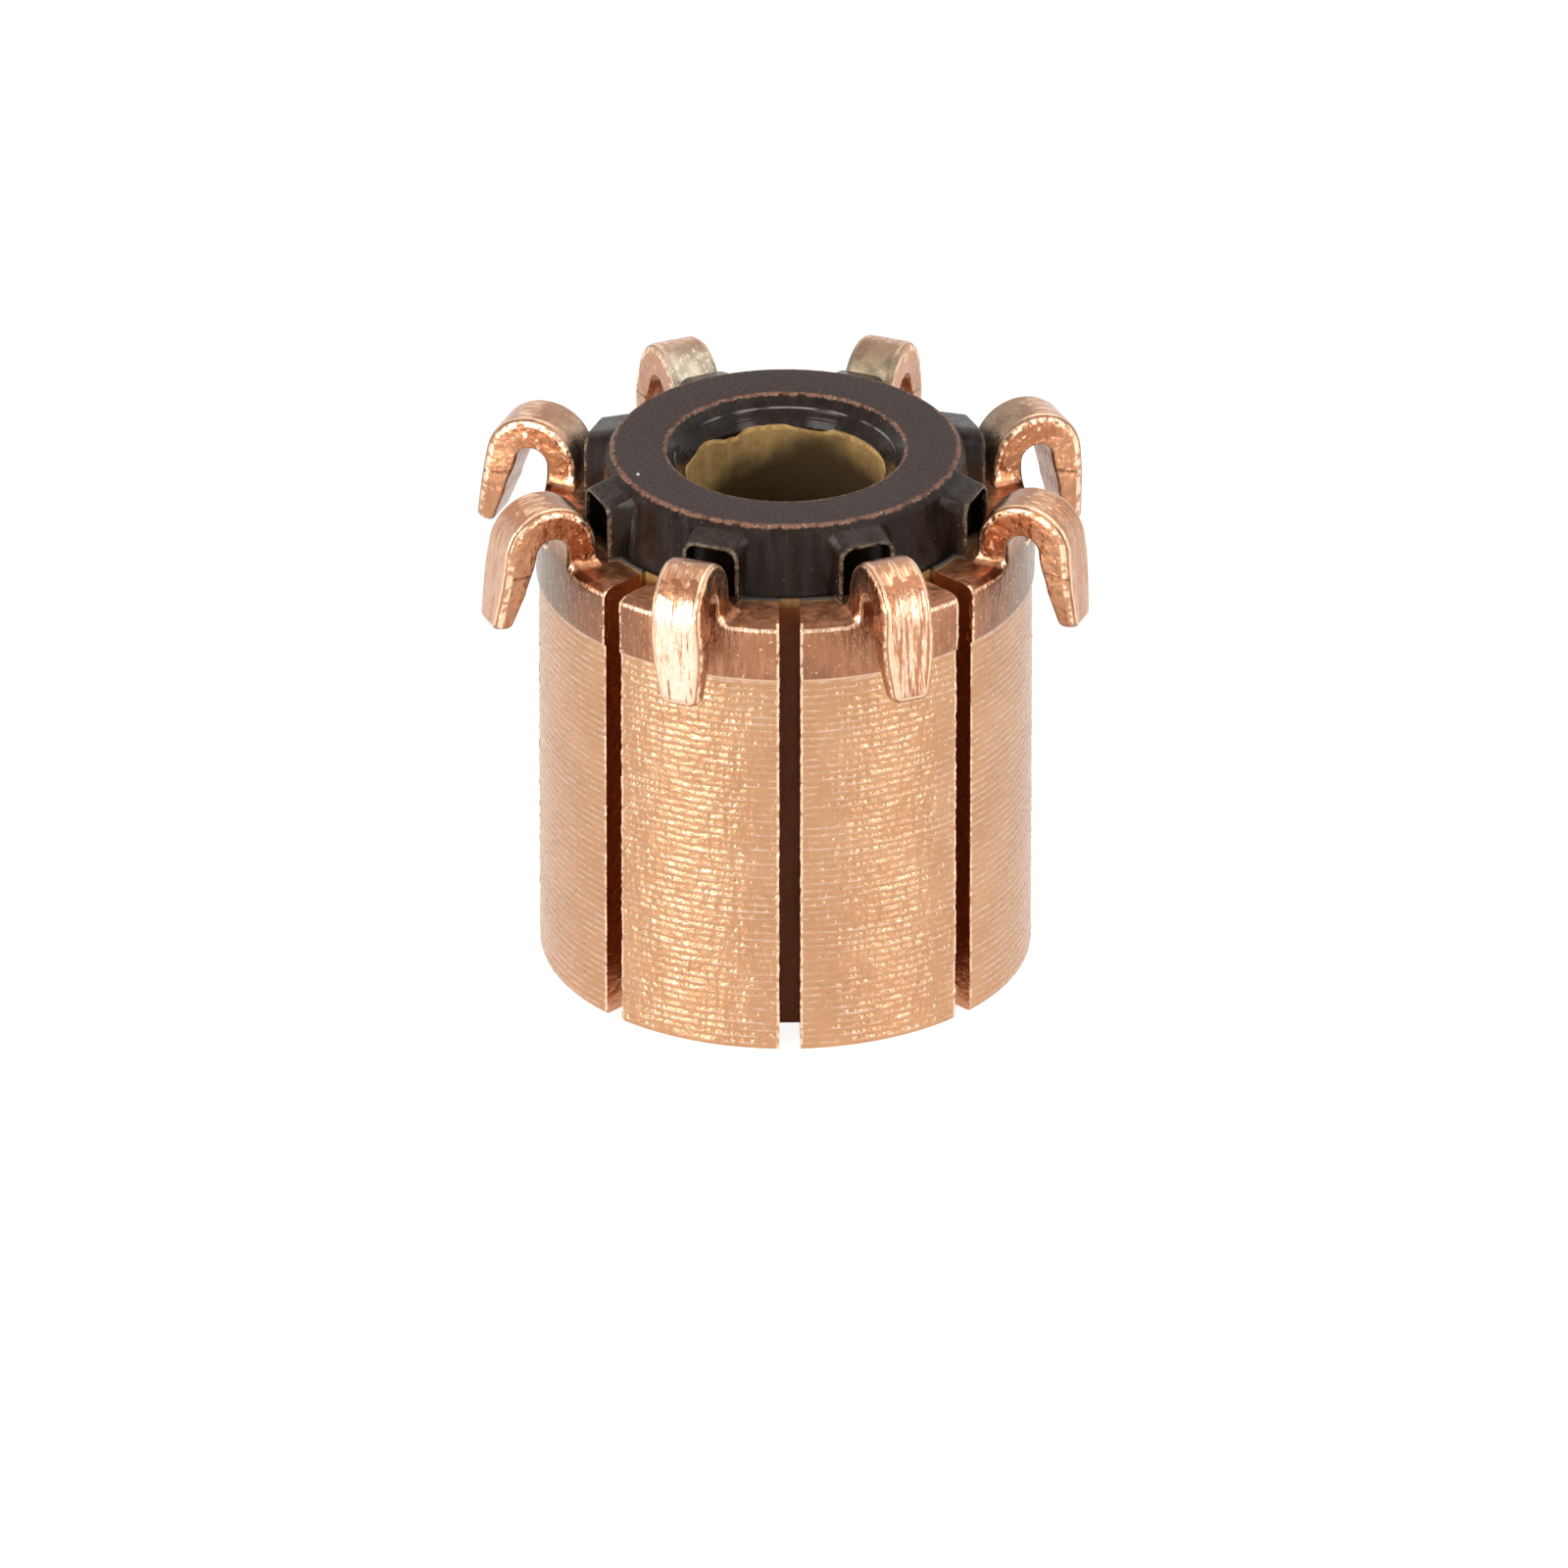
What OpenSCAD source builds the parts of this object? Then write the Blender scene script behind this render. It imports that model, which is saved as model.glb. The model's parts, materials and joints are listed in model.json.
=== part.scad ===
// Hook commutator: copper bars moulded round a phenolic hub, each bar with a winding hook.
// Millimetres. Origin on the shaft axis at the bottom face, +Z towards the hooks, a slot faces -Y.

/* [Copper bars] */
// Number of copper bars round the hub
bar_count = 8; // [6:1:12]
// Diameter of the turned brush track
track_d = 20; // [18:0.1:26]
// Length of a bar along the shaft
bar_length = 19.3; // [14:0.1:30]
// Radial thickness of a bar at the brush track
bar_wall = 2.0; // [1.6:0.05:2.6]
// Height of the unturned riser band at the hook end
riser_h = 2.5; // [1.5:0.1:5]
// How far the riser band stands proud of the brush track
riser_step = 0.1; // [0.04:0.01:0.3]
// Rounding of the riser's outer top edge
shoulder_r = 0.4; // [0.1:0.05:0.8]
// Width of the sawn slot between two bars
slot_w = 0.85; // [0.5:0.05:1.4]
// How far the saw runs on into the hub below the bars
slot_bite = 0.3; // [0.1:0.05:0.6]

/* [Winding hooks] */
// Width of the hook strip
tang_w = 2.1; // [1.4:0.05:2.6]
// Thickness of the hook strip at the root and round the bend
tang_t = 1.35; // [0.9:0.05:1.5]
// How far the flat hook strip lies inside the round riser face
tang_setback = 0.08; // [0.06:0.01:0.2]
// Rounding where the strip's sides meet the bar end
root_fillet = 0.55; // [0.2:0.05:0.7]
// Straight rise of the strip above the bar end
hook_rise = 0.7; // [0.7:0.05:2]
// Inside width of the bend, where the wire lies
hook_gap = 1.35; // [0.8:0.05:2.4]
// Drop of the hook tip below the middle of the bend
hook_drop = 3.1; // [2.2:0.1:4.5]
// Outward flare of the leg in degrees
hook_flare = 9.5; // [0:0.5:20]
// Length of the pressed, tapered tip
tip_length = 1.7; // [0.8:0.1:2]
// Thickness of the leg where the pressed tip starts
crease_t = 1.1; // [0.8:0.05:1.2]
// Thickness of the tip's end
tip_t = 0.75; // [0.4:0.05:0.8]
// Width of the tip's end
tip_w = 1.6; // [1:0.05:2]
// Rounding of the tip's two corners, seen from outside
tip_corner_r = 0.4; // [0.1:0.05:0.5]

/* [Bar anchors] */
// Thickness of the anchor fin inside the hub
anchor_t = 1.8; // [1:0.1:2]
// Radial depth of the anchor fin inside the bar
anchor_depth = 2.0; // [1.4:0.1:2.2]
// Radial gap between the bar and the anchor's claws, filled with resin
claw_gap = 0.9; // [0.5:0.05:1.1]
// Length of each claw along the shaft
claw_length = 1.3; // [0.6:0.1:2.5]
// Resin left between each end of the anchor and the end of the bar
anchor_inset = 2.0; // [1:0.1:3.5]

/* [Hub] */
// Diameter of the shaft bore
bore_d = 8; // [6:0.1:9]
// Chamfer at the bottom of the bore
foot_chamfer = 0.3; // [0.1:0.05:0.6]
// Height of the collar above the bar ends
collar_h = 3.0; // [2.4:0.1:5]
// Width of the ledge between the bars and the foot of the collar
collar_ledge = 0.47; // [0.35:0.01:0.8]
// Inward lean of the collar wall over its height
collar_draft = 0.23; // [0:0.01:0.5]
// Width of the bevel round the collar's top edge
rim_w = 0.3; // [0.1:0.05:0.5]
// Height of the bevel round the collar's top edge
rim_h = 0.35; // [0.1:0.05:0.6]
// Height of the low ring round the foot of the collar
ring_h = 0.1; // [0.05:0.01:0.3]
// Gap from the low ring to the bars
ring_gap = 0.08; // [0.02:0.01:0.2]
// Width of the step round the mouth of the bore
lead_w = 0.88; // [0.5:0.02:1.2]
// Width of the sloping seat between the step and the bore
seat_w = 0.48; // [0.2:0.02:0.49]
// Depth of the step round the mouth of the bore
lead_depth = 0.48; // [0.2:0.02:1]
// Depth of the sloping seat below the step
seat_depth = 0.62; // [0.2:0.02:1.2]

/* [Hook sockets] */
// Gap left between a socket and the back of its bent hook
socket_gap = 0.35; // [0.1:0.05:0.6]
// Thickness of the socket's rim beside and above the strip
socket_rim = 0.16; // [0.12:0.02:0.4]
// Depth of the pocket that the straight strip left in the socket
pocket_depth = 0.6; // [0.3:0.05:0.8]
// Rounding of the socket's upper corners
socket_corner_r = 0.6; // [0.3:0.05:0.9]
// Drop of the socket's front edge below the collar top
socket_drop = 0.55; // [0.3:0.05:1]
// Fall of the socket roof towards the hook in degrees
socket_slope = 18; // [5:1:25]

/* [Hidden] */
$fn = 96;

// Length by which cutters and joined solids run past a face
over = 0.5;
// Steps in each small rounded corner of the hook tip
arc_steps = 6;

pitch = 360 / bar_count;
track_r = track_d / 2;
riser_r = track_r + riser_step;
bar_in_r = track_r - bar_wall;
slot_floor_r = bar_in_r - slot_bite;
bore_r = bore_d / 2;

tang_out_x = riser_r - tang_setback;
tang_in_x = tang_out_x - tang_t;
bend_in_r = hook_gap / 2;
bend_out_r = bend_in_r + tang_t;
bend_x = tang_out_x + bend_in_r;
bend_z = bar_length + hook_rise;
tip_z = bend_z - hook_drop;
// How deep the hook strip is joined into the bar end
root_sink = 2 * shoulder_r;
// How far the rounding of the root's feet cuts into the two faces that it joins
fillet_bite = 0.04;
// How far the straight root and leg run into the bend, and how little the bend stands proud of them
bend_lap = 0.2;
bend_proud = 0.02;

// The leg runs along leg_down, and leg_out points away from the bar across it
leg_out = [cos(hook_flare), sin(hook_flare)];
leg_down = [sin(hook_flare), -cos(hook_flare)];
leg_start = [bend_x, bend_z] + bend_out_r * leg_out;
tip_r = tip_t / 2;
leg_length = tip_r
    + (hook_drop - tip_r + (bend_out_r - tip_r) * sin(hook_flare)) / cos(hook_flare);
tip_centre = leg_start + (leg_length - tip_r) * leg_down - tip_r * leg_out;
leg_crease = leg_start + (leg_length - tip_length) * leg_down;

collar_top_z = bar_length + collar_h;
collar_foot_r = bar_in_r - collar_ledge;
collar_rim_r = collar_foot_r - collar_draft;
collar_top_r = collar_rim_r - rim_w;
ring_r = bar_in_r - ring_gap;
lead_r = bore_r + lead_w;
seat_r = bore_r + seat_w;

socket_front_x = tang_in_x - socket_gap;
socket_front_z = collar_top_z - socket_drop;
socket_w = tang_w + 2 * socket_rim;

function bar_name(i) = str("copper_bar_", i);

// A slot faces -Y, so the bars sit half a pitch either side of it
function bar_angle(i) = -90 + (i - 0.5) * pitch;

function arc(centre, r, from, to) =
    [for (k = [0:arc_steps]) let (a = from + (to - from) * k / arc_steps)
        centre + r * [cos(a), sin(a)]];

module at_bar(i) {
    rotate([0, 0, bar_angle(i)]) children();
}

// Turns an outline drawn as [width, height] to face +X, and pushes it from x0 to x1
module push_out(x0, x1) {
    translate([x0, 0, 0])
        rotate([90, 0, 90])
            linear_extrude(x1 - x0) children();
}

// Turns an outline drawn as [radius, height] upright, with its thickness centred on the bar
module upright(thickness) {
    rotate([90, 0, 0])
        linear_extrude(thickness, center = true) children();
}

// Saw cut along the shaft, from its floor outwards
module saw_cut(floor_r) {
    translate([floor_r, -slot_w / 2, -over])
        cube([riser_r + over - floor_r, slot_w, bar_length + ring_h + 2 * over]);
}

// Half section of the copper ring: brush track, riser band and rounded shoulder
module bar_section() {
    difference() {
        union() {
            translate([bar_in_r, 0])
                square([bar_wall, bar_length]);
            translate([bar_in_r, bar_length - riser_h])
                square([riser_r - bar_in_r, riser_h]);
        }
        translate([riser_r - shoulder_r, bar_length - shoulder_r])
            difference() {
                square(shoulder_r + over);
                circle(shoulder_r);
            }
    }
}

module bar_body() {
    difference() {
        rotate([0, 0, -pitch / 2])
            rotate_extrude(angle = pitch) bar_section();
        for (side = [-1, 1])
            rotate([0, 0, side * pitch / 2])
                saw_cut(bar_in_r - over);
    }
}

// Fin that runs into the hub, with a claw at each end hooked behind the resin
module anchor() {
    claw_x = bar_in_r - claw_gap;
    foot_x = bar_in_r - anchor_depth;
    neck_x = bar_in_r + bar_wall / 2;
    neck_z0 = anchor_inset + claw_length;
    neck_z1 = bar_length - neck_z0;
    upright(anchor_t)
        union() {
            translate([foot_x, anchor_inset])
                square([claw_x - foot_x, bar_length - 2 * anchor_inset]);
            translate([foot_x, neck_z0])
                square([neck_x - foot_x, neck_z1 - neck_z0]);
        }
}

// Straight root of the hook, with rounded feet on the flat of the bar end
module hook_root() {
    translate([tang_in_x + bend_proud, -tang_w / 2, bar_length - root_sink])
        cube([tang_t - 2 * bend_proud, tang_w, root_sink + hook_rise + bend_lap]);
    push_out(tang_in_x, riser_r - shoulder_r)
        for (flip = [0, 1])
            mirror([flip, 0])
                difference() {
                    translate([0, bar_length - shoulder_r])
                        square([tang_w / 2 + root_fillet, root_fillet + shoulder_r]);
                    translate([tang_w / 2 + root_fillet, bar_length + root_fillet]
                        - [fillet_bite, fillet_bite])
                        circle(root_fillet);
                }
}

module hook_bend() {
    translate([bend_x, 0, bend_z])
        rotate([90, 0, 0])
            rotate([0, 0, hook_flare])
                rotate_extrude(angle = 180 - hook_flare)
                    translate([bend_in_r, -tang_w / 2])
                        square([tang_t, tang_w]);
}

// Leg seen from the side: it leaves the bend, flares outwards and thins to a rounded end
module leg_side() {
    leg_top = leg_start - bend_lap * leg_down;
    polygon(concat(
        [leg_top - (tang_t - bend_proud) * leg_out, leg_top - bend_proud * leg_out],
        arc(tip_centre, tip_r, hook_flare, hook_flare - 180),
        [leg_crease - crease_t * leg_out]
    ));
}

// Leg seen from outside: straight to the crease, then narrowed to a rounded end
module leg_front() {
    corner_y = tip_w / 2 - tip_corner_r;
    corner_z = tip_z + tip_corner_r;
    top_z = bend_z + bend_out_r;
    polygon(concat(
        [[-tang_w / 2, top_z], [-tang_w / 2, leg_crease[1]]],
        arc([-corner_y, corner_z], tip_corner_r, 180, 270),
        arc([corner_y, corner_z], tip_corner_r, 270, 360),
        [[tang_w / 2, leg_crease[1]], [tang_w / 2, top_z]]
    ));
}

module hook_leg() {
    intersection() {
        upright(tang_w) leg_side();
        push_out(bend_x, leg_start[0] + hook_drop) leg_front();
    }
}

module copper_bar(i) {
    color("peru")
        at_bar(i)
            union() {
                bar_body();
                anchor();
                hook_root();
                hook_bend();
                hook_leg();
            }
}

// Half section of the moulding: bore, shell seat, low ring and collar
module hub_section() {
    polygon([
        [bore_r + foot_chamfer, 0],
        [bar_in_r, 0],
        [bar_in_r, bar_length],
        [ring_r, bar_length],
        [ring_r, bar_length + ring_h],
        [collar_foot_r, bar_length + ring_h],
        [collar_rim_r, collar_top_z - rim_h],
        [collar_top_r, collar_top_z],
        [lead_r, collar_top_z],
        [seat_r, collar_top_z - lead_depth],
        [bore_r, collar_top_z - lead_depth - seat_depth],
        [bore_r, foot_chamfer]
    ]);
}

// Arched outline with its crown at the origin, w wide and running down by h
module arch(w, h, corner_r) {
    translate([-w / 2, -h])
        square([w, h - corner_r]);
    translate([-w / 2 + corner_r, -h])
        square([w - 2 * corner_r, h]);
    for (side = [-1, 1])
        translate([side * (w / 2 - corner_r), -corner_r])
            circle(corner_r);
}

// Arched block under a roof that falls towards the hook, between two radii
module arched_block(w, crown_z, corner_r, x0, x1) {
    reach = collar_foot_r;
    intersection() {
        translate([socket_front_x, 0, crown_z])
            rotate([0, socket_slope, 0])
                push_out(-reach, reach) arch(w, reach, corner_r);
        translate([x0, -w, bar_length])
            cube([x1 - x0, 2 * w, collar_h]);
    }
}

module socket() {
    arched_block(socket_w, socket_front_z, socket_corner_r, lead_r + rim_w, socket_front_x);
}

module pocket() {
    arched_block(tang_w, socket_front_z - socket_rim, socket_corner_r - socket_rim,
        socket_front_x - pocket_depth, socket_front_x + over);
}

module moulded_hub() {
    color("#3a3230")
        difference() {
            union() {
                rotate_extrude() hub_section();
                for (i = [1:bar_count])
                    at_bar(i) socket();
            }
            for (i = [1:bar_count]) {
                at_bar(i) anchor();
                at_bar(i) pocket();
                at_bar(i + 0.5) saw_cut(slot_floor_r);
            }
        }
}

moulded_hub();
for (i = [1:bar_count])
    copper_bar(i);
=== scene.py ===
"""Dresses the hook commutator: copper bars, moulded hub, and a plain studio stage to show them in."""

import json
import math

import bmesh
import bpy
from bpy.props import FloatProperty, FloatVectorProperty, IntProperty, PointerProperty
from bpy.types import NodeSocket, Operator, Panel, PropertyGroup
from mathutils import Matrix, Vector


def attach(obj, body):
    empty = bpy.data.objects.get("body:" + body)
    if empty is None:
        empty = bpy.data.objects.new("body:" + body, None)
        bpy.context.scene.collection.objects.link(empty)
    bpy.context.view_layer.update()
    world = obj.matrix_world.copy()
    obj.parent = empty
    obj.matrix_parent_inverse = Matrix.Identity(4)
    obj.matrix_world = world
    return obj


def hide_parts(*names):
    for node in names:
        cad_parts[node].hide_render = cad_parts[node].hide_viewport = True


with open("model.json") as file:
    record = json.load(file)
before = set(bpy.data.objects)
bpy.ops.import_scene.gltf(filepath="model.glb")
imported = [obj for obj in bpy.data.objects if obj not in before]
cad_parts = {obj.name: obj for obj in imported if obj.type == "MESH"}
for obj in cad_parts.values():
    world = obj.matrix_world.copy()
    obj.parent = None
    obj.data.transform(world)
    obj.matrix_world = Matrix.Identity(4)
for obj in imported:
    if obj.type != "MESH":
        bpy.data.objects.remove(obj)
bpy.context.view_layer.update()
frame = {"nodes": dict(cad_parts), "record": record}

bl_info = {
    "name": "Hook commutator",
    "version": (1, 0, 0),
    "blender": (4, 5, 0),
    "location": "3D View > Sidebar > Commutator",
    "description": "Builds a hook commutator and its studio stage",
    "category": "Add Mesh",
}

MM = 0.001
BODY = "root"
HUB_NODE = "moulded_hub"
BAR_NODES = sorted(name for name in frame["nodes"] if name.startswith("copper_bar_"))
MOUNTS = {mount["name"]: mount for mount in frame["record"]["mounts"]}
TRACK = MOUNTS["brush_track"]["dims"]
BORE = MOUNTS["shaft_bore"]["dims"]
BORE_TOP = MOUNTS["shaft_bore"]["pos_m"][2] / MM + BORE["length_mm"] / 2
COLLAR_TOP = MOUNTS["collar_face"]["pos_m"][2] / MM
FLAT_PLACE = "flat_place"
FLAT_FACING = "flat_facing"
TURNING_MARK = "turning_mark"
WHITE = (1.0, 1.0, 1.0, 1.0)


def number(name, description, default, **more):
    """A plain number setting."""
    return FloatProperty(name=name, description=description, default=default, **more)


def size(name, description, millimetres):
    """A length setting, with its default given in millimetres."""
    return number(name, description, millimetres * MM, min=0.0, unit='LENGTH', precision=5)


def angle(name, description, degrees):
    """An angle setting, with its default given in degrees."""
    return number(name, description, math.radians(degrees), subtype='ANGLE')


def colour(name, description, rgb):
    """A colour setting, with its default as scene-linear red, green and blue."""
    return FloatVectorProperty(name=name, description=description, default=rgb,
                               min=0.0, max=1.0, subtype='COLOR')


class BarSettings(PropertyGroup):
    """Sizes of a copper bar below its hook."""
    track_r: size("Track radius", "Radius of the turned brush track", TRACK["r_mm"])
    track_h: size("Track height", "Height of the turned brush track", TRACK["length_mm"])
    riser_h: size("Riser height", "Height of the unturned band above the track", 2.5)
    riser_step: size("Riser step", "How far the riser stands proud of the track", 0.1)
    wall: size("Wall", "Radial thickness of a bar at the track", 2.0)
    shoulder: size("Shoulder", "Rounding of the riser's top edge", 0.4)
    slot: size("Slot", "Width of the sawn slot between two bars", 0.85)
    edge: size("Slot edge", "Rounding of a bar's edge along the slot", 0.07)
    burr: size("Burr", "Height of the ragged burr that the saw left along a slot", 0.035)
    foot_edge: size("Foot edge", "Bevel of a bar's lower edge", 0.06)
    feed: size("Feed", "Pitch of the turning lines on the track", 0.316)
    feed_depth: size("Feed depth", "Depth of the turning lines on the track", 0.044)
    seed: IntProperty(name="Seed", description="Seed of the burrs and turning marks", default=8)


class HookSettings(PropertyGroup):
    """Sizes of the winding hooks, and how far each one was bent in handling."""
    width: size("Width", "Width of the hook strip", 2.1)
    thickness: size("Thickness", "Thickness of the hook strip", 1.35)
    setback: size("Setback", "How far the flat strip lies inside the round riser face", 0.08)
    fillet: size("Root rounding", "Rounding where the strip meets the bar end", 0.55)
    rise: size("Rise", "Straight rise of the strip above the bar end", 0.7)
    gap: size("Gap", "Inside width of the bend", 1.35)
    leg: size("Leg", "Length of the leg below the bend", 3.4)
    tip: size("Tip", "Length of the pressed tip", 1.7)
    crease: size("Crease", "Distance of the pressed crease from the tip's end", 2.4)
    tip_width: size("Tip width", "Width of the tip's end", 1.6)
    crease_t: size("Crease thickness", "Thickness where the pressed tip starts", 1.1)
    tip_t: size("Tip thickness", "Thickness of the tip's end", 0.75)
    tip_round: size("Tip rounding", "Rounding of the tip's end", 0.34)
    rolled: size("Rolled edge", "Rounding of the edges on the outside of the bend", 0.3)
    sheared: size("Sheared edge", "Rounding of the edges on the inside of the bend", 0.14)
    swell: size("Swell", "How far the leg's sides bulge above the pressed tip", 0.05)
    flare: FloatVectorProperty(
        name="Flare", description="Outward flare of each leg, from bar 1 on", size=8, unit='ROTATION',
        default=[math.radians(a) for a in (8.0, 5.0, 2.0, 7.0, 9.5, 9.5, 8.5, 4.0)])
    lean: FloatVectorProperty(
        name="Lean", description="Sideways lean of each tip, from bar 1 on", size=8, unit='LENGTH',
        default=[d * MM for d in (-0.15, -0.1, 0.0, 0.12, 0.1, 0.0, 0.05, 0.45)])


class HubSettings(PropertyGroup):
    """Sizes of the moulded hub that its finish follows."""
    edge: size("Edge", "Softening of the moulding's edges", 0.05)
    speck: FloatVectorProperty(
        name="Speck", description="Place of the dust speck on the collar", size=2, unit='LENGTH',
        default=(-6.0 * MM, -2.36 * MM), precision=5)
    rim_r: size("Rim radius", "Radius of the collar below its upper rim", 7.3)
    rim_w: size("Rim width", "Width of the bevelled upper rim", 0.3)
    lead_r: size("Lead-in radius", "Radius of the recess round the bore", 4.88)
    lead_depth: size("Lead-in depth", "Depth of the step in the recess", 0.48)
    recess: size("Recess", "Depth of the smooth part of the recess", 1.4)
    mouth: size("Socket mouth", "Distance of a socket's mouth from the shaft", 8.32)
    pocket_w: size("Pocket width", "Width of the pocket in a socket", 2.1)
    pocket_r: size("Pocket radius", "Distance of the pocket's back from the shaft", 7.6)
    pocket_top: size("Pocket top", "Height of the pocket's upper end", 21.6)
    foot_r: size("Foot radius", "Radius of the low ring round the collar's foot", 7.78)


class FinishSettings(PropertyGroup):
    """Colours of the copper and of the moulding."""
    track: colour("Track", "Freshly turned copper of the brush track", (0.575, 0.296, 0.147))
    track_pale: colour("Pale track", "Paler drifts on the brush track", (0.64, 0.352, 0.187))
    # Painted highlight: pale, whitish copper on the crests of the turning lines, which whitens the lamps'
    # reflections on the track
    flank: colour("Line flank", "Bright flanks of the turning lines", (0.97, 0.80, 0.70))
    riser: colour("Riser", "Unturned copper above the track", (0.37, 0.151, 0.073))
    riser_pale: colour("Pale riser", "Scratches on the unturned copper", (0.50, 0.235, 0.127))
    # Painted reflection: olive darkening of the riser towards the left and right silhouettes, standing in for
    # grey surroundings mirrored at grazing angles
    grazing_reflection: colour("Tarnish", "Olive tarnish on the unturned copper", (0.20, 0.130, 0.072))
    shelf: colour("Bar end", "Copper of the bar ends round the hooks", (0.60, 0.25, 0.118))
    hook: colour("Hook", "Copper of the hooks", (0.58, 0.268, 0.135))
    hook_pale: colour("Pale hook", "Bright streaks along the hooks' legs", (0.93, 0.69, 0.51))
    # Copper over the top of the hooks; its darker band over the top of the bend is painted dark reflection
    arch: colour("Arch", "Browned copper over the top of the hooks", (0.60, 0.27, 0.134))
    sheared: colour("Sheared side", "Deep copper of the hooks' sheared sides", (0.37, 0.136, 0.056))
    sheared_pale: colour("Pale sheared side", "Sheared sides of the hooks' legs", (0.54, 0.25, 0.127))
    # Dark copper for the band where the bend ends and the dark streaks on the legs, and painted shade on the
    # hooks' rounded edges, the tips' ends and the bar ends' outer edges
    dark_fold_and_shade: colour("Fold", "Browned copper where the bend ends and on rolled edges", (0.33, 0.13, 0.062))
    # Dark specks on the track, and painted shade over the shoulders and along the pressed crease
    dark_specks_and_shade: colour("Furrow", "Dark furrows and the pressed crease", (0.20, 0.075, 0.035))
    # Painted highlights and glints on the hooks, shoulders, riser and bar ends, and partly bare burnished
    # copper on the slot edges
    glint: colour("Glint", "Bare copper on burnished edges", (0.97, 0.66, 0.44))
    wall: colour("Slot wall", "Copper of the sawn slot walls", (0.56, 0.24, 0.10))
    # Painted light: slot walls paler near the floor, as if lit from the floor below
    wall_foot: colour("Slot wall foot", "Copper of the slot walls near the floor", (0.60, 0.27, 0.14))
    film: colour("Film", "Olive film that the moulding left on the hooks", (0.40, 0.325, 0.225))
    skin: colour("Skin", "Moulded skin of the hub", (0.020, 0.0115, 0.0075))
    # Painted reflection: sheen streaks down the moulded skin
    sheen: colour("Sheen", "Dull streaks down the moulded skin", (0.050, 0.031, 0.023))
    worn: colour("Worn rim", "Worn rims of the hub's collar", (0.25, 0.125, 0.085))
    roof: colour("Socket roof", "Scuffed tops of the sockets", (0.046, 0.034, 0.028))
    # Paler socket roofs: scuffs, with painted sheen on their upward faces
    mouth: colour("Socket mouth", "Worn mouths of the sockets", (0.21, 0.15, 0.10))
    foot: colour("Collar foot", "Pale line along the foot of the collar", (0.085, 0.08, 0.078))
    faced: colour("Faced skin", "Faced top of the collar", (0.055, 0.039, 0.035))
    chipped: colour("Chipped rim", "Pale chips in the worn rims", (0.42, 0.28, 0.18))
    # Pale specks of dust, and a painted highlight along the step in the recess
    dust_and_highlight: colour("Dust", "Pale specks on the moulding", (0.35, 0.33, 0.31))
    resin: colour("Bare resin", "Resin laid bare in the bore and on the slot ends", (0.43, 0.265, 0.10))
    # Painted shade: dark resin deep in the slots between the bars
    sawn: colour("Sawn resin", "Scorched resin on the floors of the slots", (0.25, 0.09, 0.014))


class StageSettings(PropertyGroup):
    """Camera, floor and lamps."""
    lens: number("Lens", "Focal length of the camera in millimetres", 800.0)
    camera_rise: angle("Camera rise", "Height angle of the camera", 27.4)
    camera_turn: angle("Camera turn", "How far the camera stands round to the left", 1.0)
    view_width: size("View width", "Width of the picture at the object", 63.745)
    shift: number("Shift", "Sideways place of the camera's target", -0.06 * MM, unit='LENGTH', precision=5)
    target_height: size("Target height", "Height of the camera's target", 6.93)
    lamp_distance: size("Lamp distance", "Distance of the lamps from the object", 300.0)
    left_power: number("Left lamp", "Power of the left lamp", 0.85, unit='POWER')
    right_power: number("Right lamp", "Power of the right lamp", 0.36, unit='POWER')
    top_power: number("Top lamp", "Power of the top lamp", 0.25, unit='POWER')
    fill: number("Fill", "Strength of the even light from all round", 0.2)
    floor: colour("Floor", "Colour of the floor", (0.3, 0.3, 0.3))
    floor_glow: number("Floor glow", "Own light of the pale floor", 0.9)


class CommutatorSettings(PropertyGroup):
    """All settings of the commutator."""
    bar: PointerProperty(type=BarSettings)
    hook: PointerProperty(type=HookSettings)
    hub: PointerProperty(type=HubSettings)
    finish: PointerProperty(type=FinishSettings)
    stage: PointerProperty(type=StageSettings)


class Sizes:
    """The single lengths of a group of settings, in millimetres."""

    def __init__(self, settings):
        for name in settings.__annotations__:
            value = getattr(settings, name)
            if isinstance(value, float):
                setattr(self, name, value / MM)


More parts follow.
